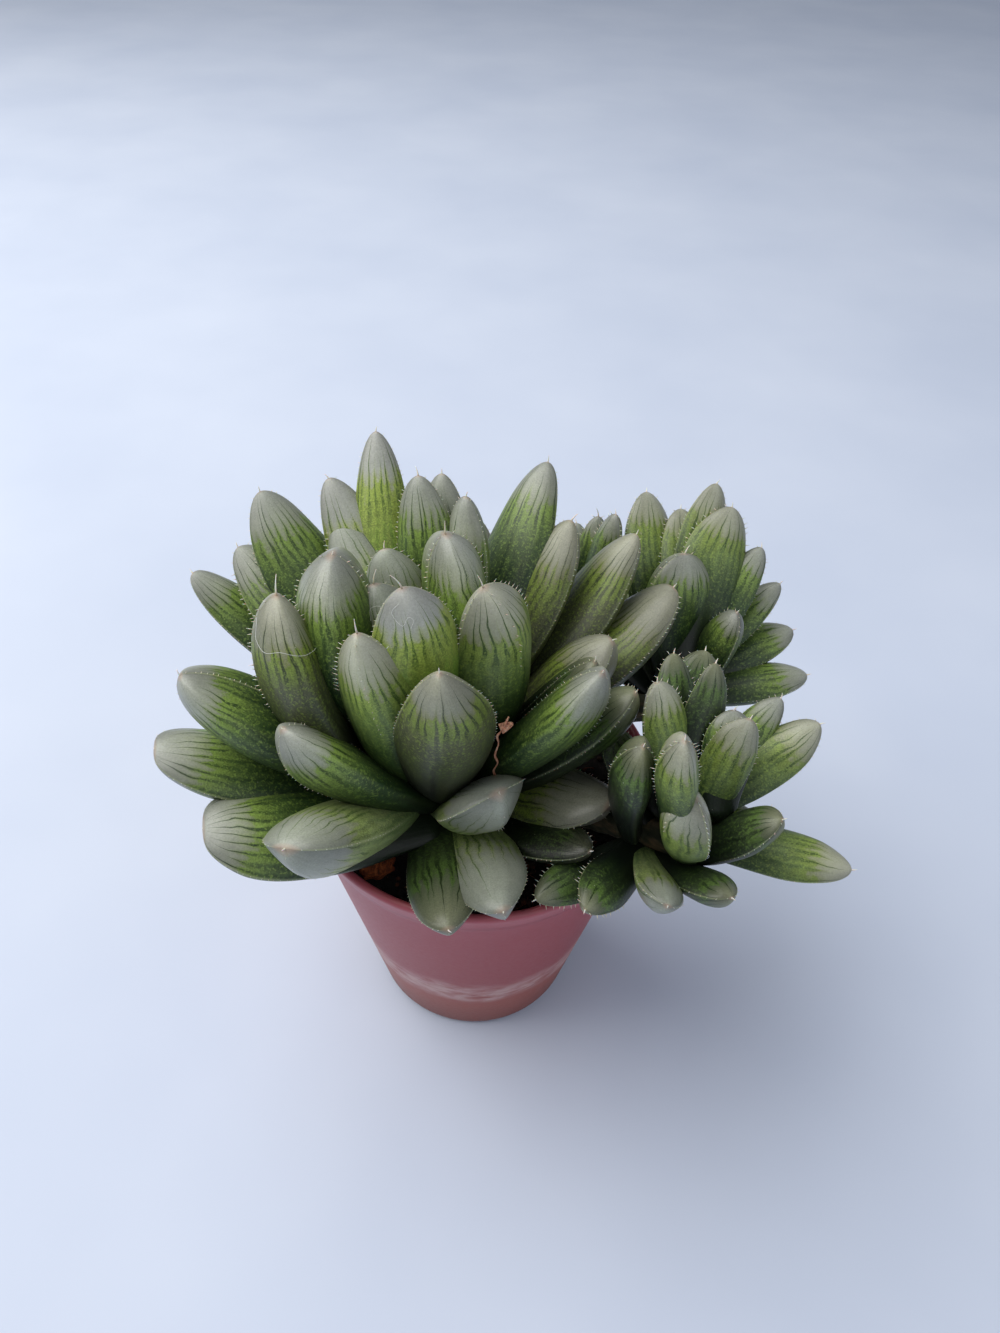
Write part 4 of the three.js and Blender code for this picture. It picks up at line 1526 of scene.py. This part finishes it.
@dataclass
class Pot:
    """A 5.5 cm nursery pot: a moulded cone with a collar, a rolled lip and drainage holes.

    Fields:
        height: from the ground to the lip.
        rim_radius, base_radius: of the line that the collar lies on, at the lip and the ground.
        wall, floor: how thick they are.
        corner: the radius of the lower corner.
        collar_height, collar_step: how deep the collar is, and how far it stands out.
        holes: how many drainage holes there are.
        hole_radius, hole_ring: a hole's radius, and its distance from the middle.
        hole_sides, sides: how many sides a hole and the shell have.
        overshoot: how far a drill goes past the floor.
        sharp: the degrees past which an edge is sharp.
    """

    height: float = 50
    rim_radius: float = 27.5
    base_radius: float = 18.1
    wall: float = 1.1
    floor: float = 1.4
    corner: float = 2.2
    collar_height: float = 3.4
    collar_step: float = 0.5
    holes: int = 6
    hole_radius: float = 1.9
    hole_ring: float = 11.5
    hole_sides: int = 32
    overshoot: float = 3.0
    sharp: float = 50
    sides: int = 180

    def radius(self, z: float) -> float:
        """The outer radius at a height on the wall, on a straight line from base to rim."""
        share = z / self.height
        return self.base_radius + (self.rim_radius - self.base_radius) * share - self.collar_step

    @staticmethod
    def arc(x: float, z: float, radius: float, start: float, end: float, steps: int) -> np.ndarray:
        """Points of an arc about (x, z), from one angle in degrees to another."""
        turn = np.radians(np.linspace(start, end, steps))
        return np.stack([x + radius * np.cos(turn), z + radius * np.sin(turn)], axis=-1)

    def profile(self) -> np.ndarray:
        """The wall's section, of straight lines and arcs.

        Returns:
            Radius and height, a row a point, from the base's middle, up outside, over the lip and
            down inside.
        """
        foot = self.height - self.collar_height
        lip = self.wall / 2 + self.collar_step / 4
        inner = self.radius(foot) - self.wall
        low_inner = self.radius(self.corner) - self.wall
        corner = self.arc(self.radius(0) - self.corner, self.corner, self.corner, -90, -6, 9)
        out = np.linspace(corner[-1], [self.radius(foot), foot - 0.3], 24)[1:]
        collar = np.array([[self.radius(foot) + self.collar_step * 0.6, foot - 0.1],
                           [self.radius(foot) + self.collar_step, foot + 0.25]])
        rise = np.linspace(collar[-1], [self.rim_radius, self.height - lip], 6)[1:]
        roll = self.arc(self.rim_radius - lip, self.height - lip, lip, 0, 180, 11)[1:]
        bore = np.linspace([self.rim_radius - 2 * lip, self.height - lip], [inner, foot], 5)[1:]
        down = np.linspace([inner, foot], [low_inner, self.floor + self.corner], 22)[1:]
        turn = self.arc(low_inner - self.corner * 0.6, self.floor + self.corner * 0.6,
                        self.corner * 0.6, 0, -90, 7)[1:]
        base = np.linspace([0.3, 0.0], [self.radius(0) - self.corner, 0.0], 14)
        ground = np.linspace(turn[-1], [0.3, self.floor], 14)[1:]
        return np.concatenate([base, corner[1:], out, collar, rise, roll, bore, down, turn, ground])

    def skin(self) -> Skin:
        """The turned shell: (r cos t, r sin t, z) over the section.

        Returns:
            The shell's skin.
        """
        section = self.profile()
        turn = 2 * np.pi * np.arange(self.sides) / self.sides
        rings = np.stack([
            section[:, :1] * np.cos(turn), section[:, :1] * np.sin(turn),
            np.repeat(section[:, 1:], self.sides, axis=1),
        ], axis=-1)
        return tube_skin(rings, np.array([0, 0, 0.0]), np.array([0, 0, self.floor]))

    def build(self, plastic: bpy.types.Material) -> None:
        """Turns the shell, then drills the drainage holes and sharpens their edges.

        Args:
            plastic: the pot's material.
        """
        piece = make_piece("pot_shell", self.skin(), plastic, ("pot",))
        turn = 2 * np.pi * np.arange(self.hole_sides) / self.hole_sides
        round_hole = np.stack([np.cos(turn), np.sin(turn), np.zeros_like(turn)], axis=-1)
        low, high = [0, 0, -self.overshoot], [0, 0, self.floor + self.overshoot]
        drills = []
        for i in range(self.holes):
            at = heading(360 * (i + 0.5) / self.holes, 0) * self.hole_ring
            ring = round_hole * self.hole_radius + at
            drills.append(tube_skin(np.stack([ring + low, ring + high]), at + low, at + high))
        drill = bpy.data.objects.new("drill", mesh_of("drill", merged(drills)))
        bpy.context.scene.collection.objects.link(drill)
        cut = piece.modifiers.new("drainage", "BOOLEAN")
        cut.operation = "DIFFERENCE"
        cut.object = drill
        bpy.context.view_layer.update()
        depsgraph = bpy.context.evaluated_depsgraph_get()
        bored = bpy.data.meshes.new_from_object(piece.evaluated_get(depsgraph))
        piece.modifiers.clear()
        piece.data = bored
        bpy.data.objects.remove(drill)
        bored.set_sharp_from_angle(angle=math.radians(self.sharp))


@dataclass
class Soil:
    """Potting mix: a plug that fills the pot, with a crumbly top and loose crumbs on it.

    Fields:
        pot: the pot that it fills.
        level: the height of its top.
        relief: how rough the top is.
        gap: how far it stays off the pot's wall and floor.
        crumbs, fibres: how many lie on it.
        sides, rings: how finely the plug is divided.
        seed: what draws its roughness, its crumbs and its fibres.
    """

    pot: Pot
    level: float = 44.8
    relief: float = 0.55
    gap: float = 0.15
    crumbs: int = 1500
    fibres: int = 70
    sides: int = 160
    rings: int = 62
    seed: int = 7

    def inner(self, z: float) -> float:
        """The plug's radius at a height, just inside the pot's wall."""
        return self.pot.radius(z) - self.pot.wall - self.gap

    def top(self, x: np.ndarray, y: np.ndarray) -> np.ndarray:
        """The height of the top: three grains of noise, each finer and lower than the last.

        Args:
            x, y: places in the pot.

        Returns:
            The height at each place.
        """
        rng = np.random.default_rng(self.seed)
        rough = grain(x, y, 5.0, rng) + 0.5 * grain(x, y, 2.1, rng) + 0.35 * grain(x, y, 0.9, rng)
        return self.level + self.relief * rough * 0.6

    def plug(self) -> Skin:
        """The plug: wall rings, then rings over the top, closer than the crumbs are wide.

        Returns:
            The plug's skin.
        """
        turn = 2 * np.pi * np.arange(self.sides) / self.sides
        wall_z = np.array([self.pot.floor + self.gap, self.pot.floor + 1.4, 15, 30, self.level - 0.4])
        wall_r = np.array([self.inner(0) - 1.6] + [self.inner(z) for z in wall_z[1:]])
        wall = np.stack([
            wall_r[:, None] * np.cos(turn), wall_r[:, None] * np.sin(turn),
            np.repeat(wall_z[:, None], self.sides, axis=1),
        ], axis=-1)
        share = np.linspace(0.995, 0.02, self.rings)[:, None]
        x, y = share * self.inner(self.level) * np.cos(turn), share * self.inner(self.level) * np.sin(turn)
        rim = smooth(1.0, 0.93, share)
        z = self.top(x, y) * rim + (self.level - 0.2) * (1 - rim)
        rings = np.concatenate([wall, np.stack([x, y, z], axis=-1)])
        plug = tube_skin(rings, np.array([0, 0, wall_z[0]]), np.array([0, 0, self.level]))
        return plug.marked(shade=-0.12)

    def crumb_skin(self) -> Skin:
        """Loose crumbs: rough lumps of twelve points, 0.4 to 1.7 mm across.

        Returns:
            The crumbs' skin, with each one's mark "shade".
        """
        rng = np.random.default_rng(self.seed + 1)
        n = self.crumbs
        radius = self.inner(self.level) * np.sqrt(rng.uniform(0, 0.97, n))
        turn = rng.uniform(0, 2 * np.pi, n)
        x, y = radius * np.cos(turn), radius * np.sin(turn)
        size = 0.2 + 0.65 * rng.random(n) ** 2.5
        centre = np.stack([x, y, self.top(x, y) + size * 0.25], axis=-1)
        ways = unit(rng.normal(size=(n, 3)))
        other = unit(np.cross(ways, rng.normal(size=(n, 3))))
        third = np.cross(ways, other)
        belt = np.linspace(0, 2 * np.pi, 5, endpoint=False)
        points = [ways * 1.0, ways * -1.0]
        for level, phase in ((0.45, 0.0), (-0.45, 0.63)):
            for b in belt:
                outward = other * math.cos(b + phase) + third * math.sin(b + phase)
                points.append(ways * level + 0.9 * outward)
        lumps = np.stack(points, axis=1) * rng.uniform(0.72, 1.2, (n, 12, 1)) * size[:, None, None]
        lumps = lumps + centre[:, None, :]
        high, low = 2 + np.arange(5), 7 + np.arange(5)
        shape = np.concatenate([
            np.stack([np.zeros(5, int), high, np.roll(high, -1)], axis=-1),
            np.stack([np.ones(5, int), np.roll(low, -1), low], axis=-1),
            np.stack([high, low, np.roll(high, -1)], axis=-1),
            np.stack([np.roll(high, -1), low, np.roll(low, -1)], axis=-1),
        ])
        faces = (12 * np.arange(n)[:, None, None] + shape[None]).reshape(-1, 3)
        shade = np.repeat(rng.uniform(-0.2, 0.42, n), 12)
        return Skin(lumps.reshape(-1, 3), [faces]).marked(shade=shade)

    def fibre_skin(self) -> Skin:
        """Coir fibres: short curved hairs that lie on the crumbs.

        Returns:
            The fibres' skin, with the mark "shade".
        """
        rng = np.random.default_rng(self.seed + 2)
        hairs = []
        for _ in range(self.fibres):
            at = heading(rng.uniform(0, 360), 0) * self.inner(self.level) * math.sqrt(rng.uniform(0.1, 0.9))
            way = rng.uniform(0, 360)
            bend = rng.uniform(-60, 60)
            length = rng.uniform(1.5, 5)
            share = np.linspace(0, 1, 7)
            turn = np.radians(way + bend * share)
            x = at[0] + length * share * np.cos(turn)
            y = at[1] + length * share * np.sin(turn)
            limit = (self.inner(self.level) - 0.2) / np.maximum(np.hypot(x, y), 1e-6)
            x, y = x * np.minimum(limit, 1), y * np.minimum(limit, 1)
            z = self.top(x, y) + 0.25 + 0.5 * np.sin(np.pi * share) * rng.random()
            path = np.stack([x, y, z], axis=-1)
            hairs.append(strand(path, np.full(7, rng.uniform(0.05, 0.11)), 5).marked(shade=0.5))
        return merged(hairs)

    def build(self, peat: bpy.types.Material) -> None:
        """Makes the plug, and the crumbs and fibres on it.

        Args:
            peat: the material of all three.
        """
        make_piece("soil_plug", self.plug(), peat, ("soil",))
        loose = merged([self.crumb_skin(), self.fibre_skin()])
        make_piece("soil_crumbs", loose, peat, ("soil",))


@dataclass
class BarkChip:
    """A flake of bark: an uneven, layered slab with a ragged edge.

    Fields:
        number: its node's number.
        x, y: where it lies.
        way: the heading of its length.
        size: its length and width against the usual ones.
        length, width, thickness: the usual ones.
        tilt: degrees that it leans to one side.
        lift: the height of its underside.
        sides, rings: how finely its skin is divided.
    """

    number: int
    x: float
    y: float
    way: float
    size: float
    length: float = 5.4
    width: float = 3.4
    thickness: float = 1.5
    tilt: float = 6
    lift: float = 44.3
    sides: int = 48
    rings: int = 22

    def skin(self) -> Skin:
        """The flake's skin, from its underside's middle out round its edge to its top's middle.

        A point is (a |cos|^0.8 r, b |sin|^0.8 r, z) on rings whose radius r goes out and back,
        with ridges along the grain and notches at the edge.

        Returns:
            The flake's skin.
        """
        rng = np.random.default_rng(100 + self.number)
        turn = 2 * np.pi * np.arange(self.sides) / self.sides
        climb = np.radians(np.linspace(-88, 88, self.rings))[:, None]
        c, s = np.cos(turn), np.sin(turn)
        ragged = 1 + 0.10 * np.sin(3 * turn + rng.uniform(0, 6))
        ragged = ragged + 0.08 * np.sin(7 * turn + rng.uniform(0, 6))
        ragged = ragged + rng.uniform(-0.06, 0.06, self.sides)
        out = np.cos(climb) ** 0.35 * ragged
        a, b = self.length / 2 * self.size, self.width / 2 * self.size
        x = a * np.sign(c) * np.abs(c) ** 0.8 * out
        y = b * np.sign(s) * np.abs(s) ** 0.8 * out
        body = self.thickness / 2 * np.sign(climb) * np.abs(np.sin(climb)) ** 0.6
        ridges = 0.16 * grain(x * 0.3, y, 0.55, rng) + 0.14 * grain(x, y, 1.6, rng)
        z = body + ridges * (np.sin(climb) > 0) + 0.25 * (x / a) ** 2
        way, tilt = math.radians(self.way), math.radians(self.tilt)
        y, z = y * math.cos(tilt) - z * math.sin(tilt), y * math.sin(tilt) + z * math.cos(tilt)
        at = np.stack([
            self.x + x * math.cos(way) - y * math.sin(way),
            self.y + x * math.sin(way) + y * math.cos(way),
            self.lift + self.thickness / 2 + z,
        ], axis=-1)
        return tube_skin(at, at[0].mean(0), at[-1].mean(0))

    def build(self, bark: bpy.types.Material) -> None:
        """Makes the flake."""
        node = f"bark_chip_{self.number}"
        make_piece(f"{node}_flake", self.skin(), bark, (node,))


CHIPS = (
    BarkChip(1, -14, -16, 35, 1.0), BarkChip(2, 2.5, -20.6, 10, 0.85), BarkChip(3, 21, -2.5, 75, 0.9),
    BarkChip(4, -19, 9, 120, 1.0), BarkChip(5, -3, 20.5, 160, 0.9),
)


@dataclass
class DryStalk:
    """What is left of a flower stalk: a thin, kinked strand that ends in a papery bract.

    Fields:
        path: the places that the strand passes, from its foot.
        bract_at: where the bract sits.
        bract_length, bract_width: the bract's size.
        paper: half of its thickness.
        steps: how many points the strand has.
    """

    path: tuple[tuple[float, float, float], ...] = (
        (2.8, -14.4, 65), (2.5, -14.4, 66.2), (3.0, -14.2, 67.6), (2.6, -14.1, 69), (3.0, -13.5, 70.6),
        (2.8, -13.3, 71.8), (3.3, -13.0, 72.6), (3.7, -12.6, 73.3), (4.2, -12.1, 74.4),
    )
    bract_at: tuple[float, float, float] = (3.1, -13.0, 72.9)
    bract_length: float = 3.0
    bract_width: float = 1.5
    paper: float = 0.06
    steps: int = 60

    def bract(self) -> Skin:
        """The bract: a cupped leaf of paper, its two sides 0.12 mm apart.

        Across u and along v, it is width (1 - v)^0.6 u across, cupped by u^2 and curled back
        by v^2.

        Returns:
            The bract's skin.
        """
        u, v = np.meshgrid(np.linspace(-1, 1, 15), np.linspace(0.02, 0.98, 22))
        wide = self.bract_width / 2 * (1 - v) ** 0.6
        crease = 0.12 * np.sin(7 * u + 5 * v) * v
        cup = 0.33 * (u * wide) ** 2 + crease + 0.3 * v
        local = np.stack([wide * u, cup, self.bract_length * (v - 0.35 * v**2)], axis=-1)
        up = unit(np.array([1.0, 0.3, 0.45]))
        right = unit(np.cross(up, heading(270, 50)))
        back = np.cross(up, right)
        sheet = np.array(self.bract_at) + local @ np.stack([right, back, up])
        front, rear = sheet - back * self.paper, sheet + back * self.paper
        rings = np.concatenate([front, rear[:, ::-1]], axis=1)
        return tube_skin(rings[:, ::-1], rings[0].mean(0), rings[-1].mean(0))

    def build(self, dry: bpy.types.Material) -> None:
        """Makes the stalk with its bract.

        Args:
            dry: the material of both.
        """
        path = spline(np.array(self.path), self.steps)
        width = 0.15 + 0.04 * np.sin(23 * np.linspace(0, 1, self.steps))
        pieces = merged([strand(path, width, 8, flat=0.6), self.bract()])
        make_piece("dry_stalk_bract", pieces, dry, ("dry_stalk",))


@dataclass
class Lint:
    """A few loose threads that lie on the leaves: one long strand and two little curls.

    Fields:
        rosette: the rosette whose leaves they lie on.
        radius: half a thread's width.
        steps: how many points a thread has for each place.
        threads: the places that each passes. A place is a leaf's number, a share along it,
            degrees round its section, and a lift off its skin.
    """

    rosette: Rosette
    radius: float = 0.021
    steps: int = 16
    threads: tuple[tuple[tuple[int, float, float, float], ...], ...] = (
        ((16, 0.945, 285, 0.2), (16, 0.915, 292, 0.1), (16, 0.88, 297, 0.1), (16, 0.855, 315, 0.2),
         (16, 0.868, 340, 0.5), (16, 0.85, 0, 0.5), (16, 0.828, 25, 0.4), (16, 0.8, 50, 0.3),
         (16, 0.775, 75, 0.6)),
        ((9, 0.97, 240, 0.1), (9, 0.94, 225, 0.1), (9, 0.90, 245, 0.1), (9, 0.93, 258, 0.2),
         (9, 0.915, 266, 0.1), (9, 0.89, 258, 0.1)),
        ((3, 0.83, 245, 0.2), (3, 0.90, 247, 0.1), (3, 0.91, 268, 0.2), (3, 0.86, 262, 0.1),
         (3, 0.90, 290, 0.1)),
    )

    def spot(self, place: tuple[int, float, float, float]) -> np.ndarray:
        """A point on a leaf's skin, or lift millimetres off it.

        Args:
            place: the leaf's number, the share, the degrees and the lift.

        Returns:
            The point.
        """
        number, share, degrees, lift = place
        shape = self.rosette.shapes[number]
        turn = np.array([math.radians(degrees)])
        point = shape.at(np.array([share]), turn)[0, 0]
        middle = shape.frame_at(np.array([share]))[0][0]
        return point + unit(point - middle) * (lift + self.radius)

    def build(self, cotton: bpy.types.Material) -> None:
        """Makes the threads as one piece.

        Args:
            cotton: their material.
        """
        skins = []
        for thread in self.threads:
            path = spline(np.array([self.spot(place) for place in thread]), self.steps * len(thread))
            skins.append(strand(path, np.full(len(path), self.radius), 5))
        make_piece("lint_threads", merged(skins), cotton, (self.rosette.name,))


# The studio

@dataclass(frozen=True)
class SoftLight:
    """A square soft box.

    Fields:
        name: the light's name.
        at: its place.
        size: its side.
        power: its power in watts.
        colour: its sRGB hex colour.
        target: the place that it faces.
    """

    name: str
    at: tuple[float, float, float]
    size: float
    power: float
    colour: str
    target: tuple[float, float, float] = (0, 0, 60.0)

    def hang(self) -> None:
        """Hangs the light, turned to its target."""
        data = bpy.data.lights.new(self.name, "AREA")
        data.size = self.size * MM
        data.energy = self.power
        data.color = linear(self.colour)[:3]
        light = bpy.data.objects.new(self.name, data)
        back = unit(np.array(self.at) - np.array(self.target))
        side = unit(np.cross(np.array([0, 0, 1.0]), back))
        up = np.cross(back, side)
        turn = Matrix(np.stack([side, up, back], axis=1).tolist()).to_4x4()
        light.matrix_world = Matrix.Translation([x * MM for x in self.at]) @ turn
        bpy.context.scene.collection.objects.link(light)


@dataclass(frozen=True)
class Studio:
    """A pale floor, soft light and the camera, which looks down on the plant from the front.

    Fields:
        camera_at: the camera's place.
        pitch, roll: degrees that it looks down and is rolled.
        lens, sensor: its focal length and its sensor's long side.
        near: the nearest that it sees, in metres.
        floor_size: the floor's side.
        paper: the colours of the floor's faint mottle.
        lights: the soft boxes.
        sky, sky_strength: the light from all round.
    """

    camera_at: tuple[float, float, float] = (2.8, -102.3, 169.4)
    pitch: float = 43.63
    roll: float = 2.27
    lens: float = 27.0
    sensor: float = 36
    near: float = 0.005
    floor_size: float = 6000
    paper: tuple[str, str] = ("#c3cde0", "#ccd5e6")
    lights: tuple[SoftLight, ...] = (
        SoftLight("window_light", (-420, 120, 640), 900, 8.4, "#fffdf9"),
        SoftLight("fill_light", (500, -500, 500), 900, 1.8, "#f4f6ff"),
    )
    sky: str = "#e4ebf8"
    sky_strength: float = 0.32

    def camera(self) -> None:
        """Sets up the camera: it stands at its place, pitched down and rolled a little."""
        data = bpy.data.cameras.new("camera")
        data.lens = self.lens
        data.sensor_width = self.sensor
        data.clip_start = self.near
        view = bpy.data.objects.new("camera", data)
        down = Matrix.Rotation(math.radians(90 - self.pitch), 4, "X")
        roll = Matrix.Rotation(math.radians(self.roll), 4, "Z")
        place = Matrix.Translation([x * MM for x in self.camera_at])
        view.matrix_world = place @ down @ roll
        bpy.context.scene.collection.objects.link(view)
        bpy.context.scene.camera = view

    def floor(self) -> None:
        """Lays the floor: matt, pale and cool, with the faintest mottle."""
        half = self.floor_size / 2 * MM
        mesh = bpy.data.meshes.new("floor")
        corners = [(-half, -half, 0), (half, -half, 0), (half, half, 0), (-half, half, 0)]
        mesh.from_pydata(corners, [], [(0, 1, 2, 3)])
        made, tree, shader = start_material("floor_paper")
        place = add(tree, "TexCoord").outputs["Object"]
        mottle = add(tree, "TexNoise", {"Vector": place, "Scale": 14.0, "Detail": 3.0})
        colour = add(tree, "ValToRGB", {0: mottle}, stops=tuple(zip((0.3, 0.7), self.paper)))
        fill(tree, shader, {"Base Color": colour, "Roughness": 0.75})
        mesh.materials.append(made)
        floor = bpy.data.objects.new("floor", mesh)
        bpy.context.scene.collection.objects.link(floor)

    def build(self) -> None:
        """Sets up the whole studio."""
        self.camera()
        self.floor()
        for light in self.lights:
            light.hang()
        world = bpy.data.worlds.new("sky")
        world.use_nodes = True
        sky = world.node_tree.nodes["Background"]
        fill(world.node_tree, sky, {"Color": linear(self.sky), "Strength": self.sky_strength})
        bpy.context.scene.world = world
        bpy.context.scene.view_settings.view_transform = "Standard"


def main() -> None:
    """Builds the studio and every part of the plant."""
    Studio().build()
    pot = Pot()
    pot.build(PotFinish().material())
    Soil(pot).build(PeatFinish().material())
    bark = BarkFinish().material()
    for chip in CHIPS:
        chip.build(bark)
    skins = {tone: LeafFinish(tone).material() for tone in Tone}
    horn, cork = ThornFinish().material(), StemFinish().material()
    rosettes = [main_rosette(), front_right_rosette(), back_right_rosette(), back_small_rosette()]
    for rosette in rosettes:
        rosette.build(skins, horn, cork)
    DryStalk().build(DryFinish().material())
    Lint(rosettes[0]).build(FluffFinish().material())


if __name__ == "__main__":
    main()
